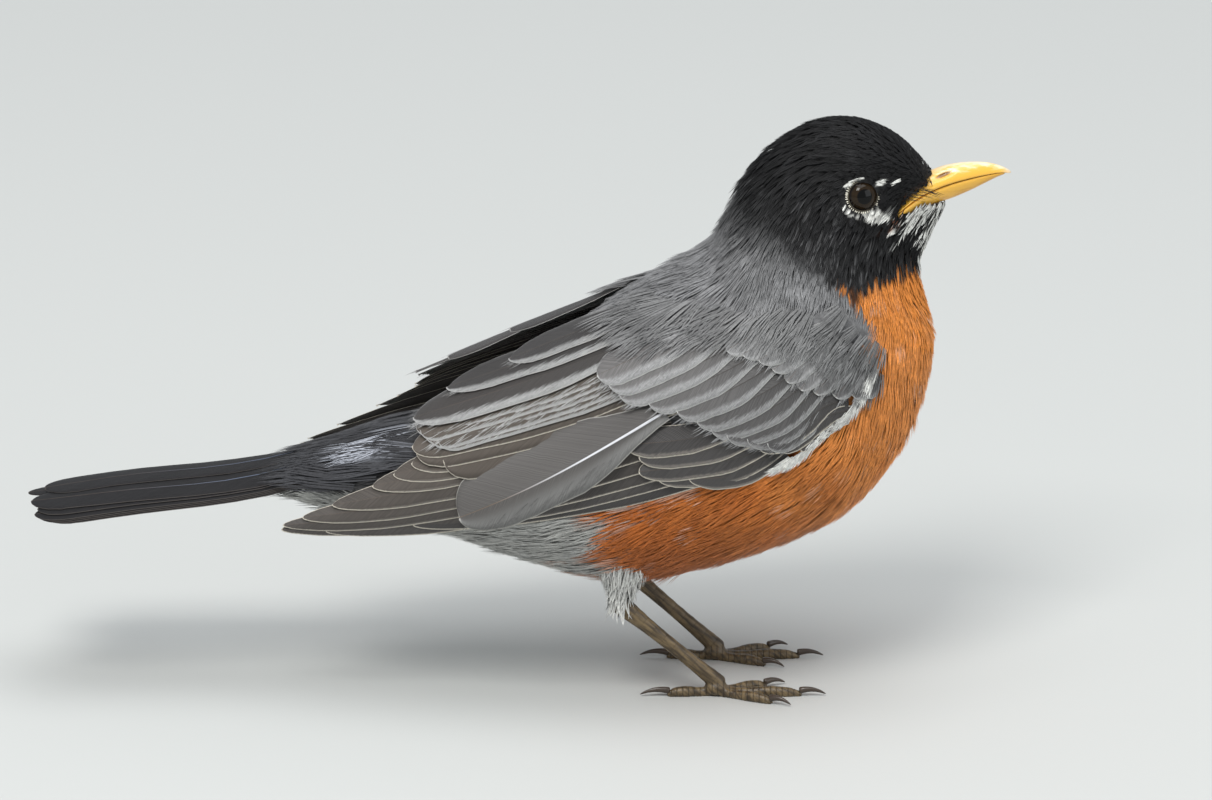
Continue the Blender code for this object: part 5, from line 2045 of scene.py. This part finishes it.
@dataclass
class Shin:
    """The white feathering of the upper leg."""

    side: Side
    finish: Material
    top: Row = (25, 13.5, 42)
    bottom: Row = (23.2, 14.5, 21)
    radii: Table = ((0, 8.6), (0.25, 8), (0.5, 6), (0.75, 3.4), (1, 2.4))

    def build(self) -> Piece:
        """Lays loose blades down the upper leg."""
        rng = np.random.default_rng(80)
        surface = self.surface()
        at = surface.spread((0.3, 0), (0.92, 360), 0.72, rng)
        count = len(at)
        _, normal, along, _ = surface.sample(at)
        heading = unit(along)
        swing = np.radians(rng.normal(0, 14, count))[:, None]
        heading = heading * np.cos(swing) + np.cross(normal, heading) * np.sin(swing)
        length = rng.uniform(4, 7, count) * (1.15 - 0.5 * at[:, 0])
        steps = np.array(Blades.rows)
        lifts = -0.8 + 1.1 * steps[None] + (rng.uniform(0, 0.9, count)[:, None]) * steps[None] ** 2
        tone = blend(Tone.WHITE.rgb(), Tone.SMOKE.rgb(), rng.uniform(0, 0.7, count))
        # darker toward the roots: painted shade between the blades, with their grey down
        colours = tone[:, None] * np.array([0.7, 0.9, 1, 1])[None, :, None]
        homes = np.stack([0.01 + 0.97 * at[:, 1] / 360, 0.01 + 0.97 * at[:, 0]], -1)
        name, width = f"coat_shin_{self.side.word}", rng.uniform(0.16, 0.3, count)
        return Blades(surface, self.finish).lay(name, at, heading, length, width, lifts, colours, homes)

    def surface(self) -> Surface:
        """A cone from the belly to the ankle, over share of the way down and angle."""
        share = np.linspace(0, 1.3, 60)
        angle = np.linspace(0, 360, 61)
        start, end = (np.array(place) * (1, self.side, 1) for place in (self.top, self.bottom))
        turn = np.radians(angle)
        ring = np.stack([np.cos(turn), np.sin(turn), np.zeros(len(turn))], -1)
        centres = start + (end - start) * share[:, None]
        points = centres[:, None] + ring[None] * curve(self.radii, share)[:, None]
        return Surface(share, angle, points, np.repeat(centres[:, None], len(angle), 1), 360)


# ---- studio


@dataclass(frozen=True)
class Studio:
    """Floor, lights and camera."""

    target: Row = (20.1, 0, 67.5)
    distance: float = 2330
    elevation: float = 18
    lens: float = 301
    sensor: float = 36

    def build(self) -> None:
        """Sets the whole stage."""
        scene = bpy.context.scene
        scene.view_settings.view_transform = "Standard"
        deselect()
        bpy.ops.mesh.primitive_plane_add(size=9, location=(0, 0, 0))
        floor = settle(bpy.context.object, "floor", FloorFinish("floor_pale").build())
        world = bpy.data.worlds.new("studio")
        world.use_nodes = True
        sky = world.node_tree.nodes["Background"]
        sky.inputs[0].default_value = (0.86, 0.9, 0.94, 1)
        sky.inputs[1].default_value = 0.62
        scene.world = world
        self.light("key", (-0.45, -1.35, 1.9), 0.85, 36, (1, 0.985, 0.96))
        self.light("top", (0.25, -0.2, 2.3), 1.7, 28, (0.97, 0.98, 1))
        self.light("fill", (1.6, -1.2, 0.7), 1.2, 8, (0.95, 0.98, 1))
        self.camera()

    def light(self, name: str, place: Row, size: float, power: float, colour: Row) -> None:
        """Adds a soft area light that faces the bird."""
        lamp = bpy.data.lights.new(name, "AREA")
        lamp.size = size
        lamp.energy = power
        lamp.color = colour
        holder = bpy.data.objects.new(name, lamp)
        holder.location = place
        aim = Vector(self.target) * MM - Vector(place)
        holder.rotation_euler = aim.to_track_quat("-Z", "Y").to_euler()
        bpy.context.scene.collection.objects.link(holder)

    def camera(self) -> None:
        """Adds the camera, level across and looking down on the bird's right side."""
        lens = bpy.data.cameras.new("camera")
        lens.lens = self.lens
        lens.sensor_width = self.sensor
        lens.clip_end = 50
        holder = bpy.data.objects.new("camera", lens)
        tilt = math.radians(self.elevation)
        back = Vector((0, -math.cos(tilt), math.sin(tilt)))
        holder.location = (Vector(self.target) + back * self.distance) * MM
        holder.rotation_euler = (-back).to_track_quat("-Z", "Y").to_euler()
        bpy.context.scene.collection.objects.link(holder)
        bpy.context.scene.camera = holder


def joined_tree(pieces: list[Piece]) -> BVHTree:
    """The faces of several pieces, for finding what they cover."""
    points: list[Vector] = []
    faces: list[tuple[int, ...]] = []
    for piece in pieces:
        start = len(points)
        points += [v.co.copy() for v in piece.data.vertices]
        faces += [tuple(i + start for i in p.vertices) for p in piece.data.polygons]
    return BVHTree.FromPolygons(points, faces)


def dress(piece: Piece, slot: str, *nodes: str) -> None:
    """Lets a piece ride on the bird and stand for solids."""
    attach(piece, "root")
    if nodes:
        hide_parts(*nodes)
    LOG.info("%s: %d faces", piece.name, len(piece.data.polygons))


def main() -> None:
    """Builds the stage and the bird in order."""
    logging.basicConfig(level=logging.INFO, format="%(message)s")
    Studio().build()
    body_form = BodyForm()
    body = body_form.surface()
    markings = Markings()
    skin = Skin(body, markings, SkinFinish("skin_and_down").build())
    dress(skin.build(), "breast_orange", *skin.nodes)

    tufts = TuftFinish("soft_feathers").build()
    satin = TuftFinish("head_feathers", 0.62, 0.02, 0.16).build()
    finishes = {look: look.value.build() for look in Look}
    over: list[Piece] = []
    for side in Side:
        wing = Wing(side, WingShell(side).surface(), finishes, tufts)
        for piece in wing.build():
            part = piece.name.removeprefix(wing.named(""))
            slot = "back_grey" if "covert" in part or part == "shoulder" else "quill_slate"
            dress(piece, slot, *(f"wing_{side.word}_{node}" for name, node in wing.stands_for if name == part))
            if part not in ("barbs", "shoulder"):
                over.append(piece)
        over.append(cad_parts[f"wing_{side.word}_coverts"])
    coat = Coat(body, markings, tufts, satin, joined_tree(over), body_form.last)
    for region in coat.regions:
        dress(coat.lay(region), region.slot)
    dress(coat.bristles(), "head_black")
    for piece in Tail(finishes[Look.TAIL], tufts).build():
        dress(piece, "tail_dark", *(["tail"] if "quills" in piece.name else []))

    bill = Bill(BillFinish("bill_horn", Bill.nostril, Bill.nostril_size, Bill.nostril_slope).build())
    for piece, node in zip(bill.build(), ("bill_upper", "bill_lower")):
        dress(piece, "bill_yellow", node)

    leg_finish = LegFinish("leg_scales").build()
    claw_finish = HornFinish("claw_horn", (0.05, 0.035, 0.025), 0.3).build()
    rim_finish = HornFinish("eye_rim", (0.045, 0.036, 0.02), 0.5).build()
    bead_finish = HornFinish("eye_beads", (0.84, 0.8, 0.68), 0.7).build()
    for side in Side:
        eye_finish = EyeFinish(f"eye_{side.word}_wet", *EYES.on(side)).build()
        ball, rim, ring = Eye(side, eye_finish, rim_finish, bead_finish).build()
        dress(ball, "eye_dark", f"eye_{side.word}")
        dress(rim, "head_black")
        dress(ring, "belly_white")
        dress(Shin(side, tufts).build(), "belly_white")
        leg, claws = Leg(side, leg_finish, claw_finish).build()
        dress(leg, "leg_brown", f"tarsus_{side.word}", f"foot_{side.word}")
        for name, claw in claws.items():
            dress(claw, "claw_dark", f"claw_{side.word}_{name}")


if __name__ == "__main__":
    main()
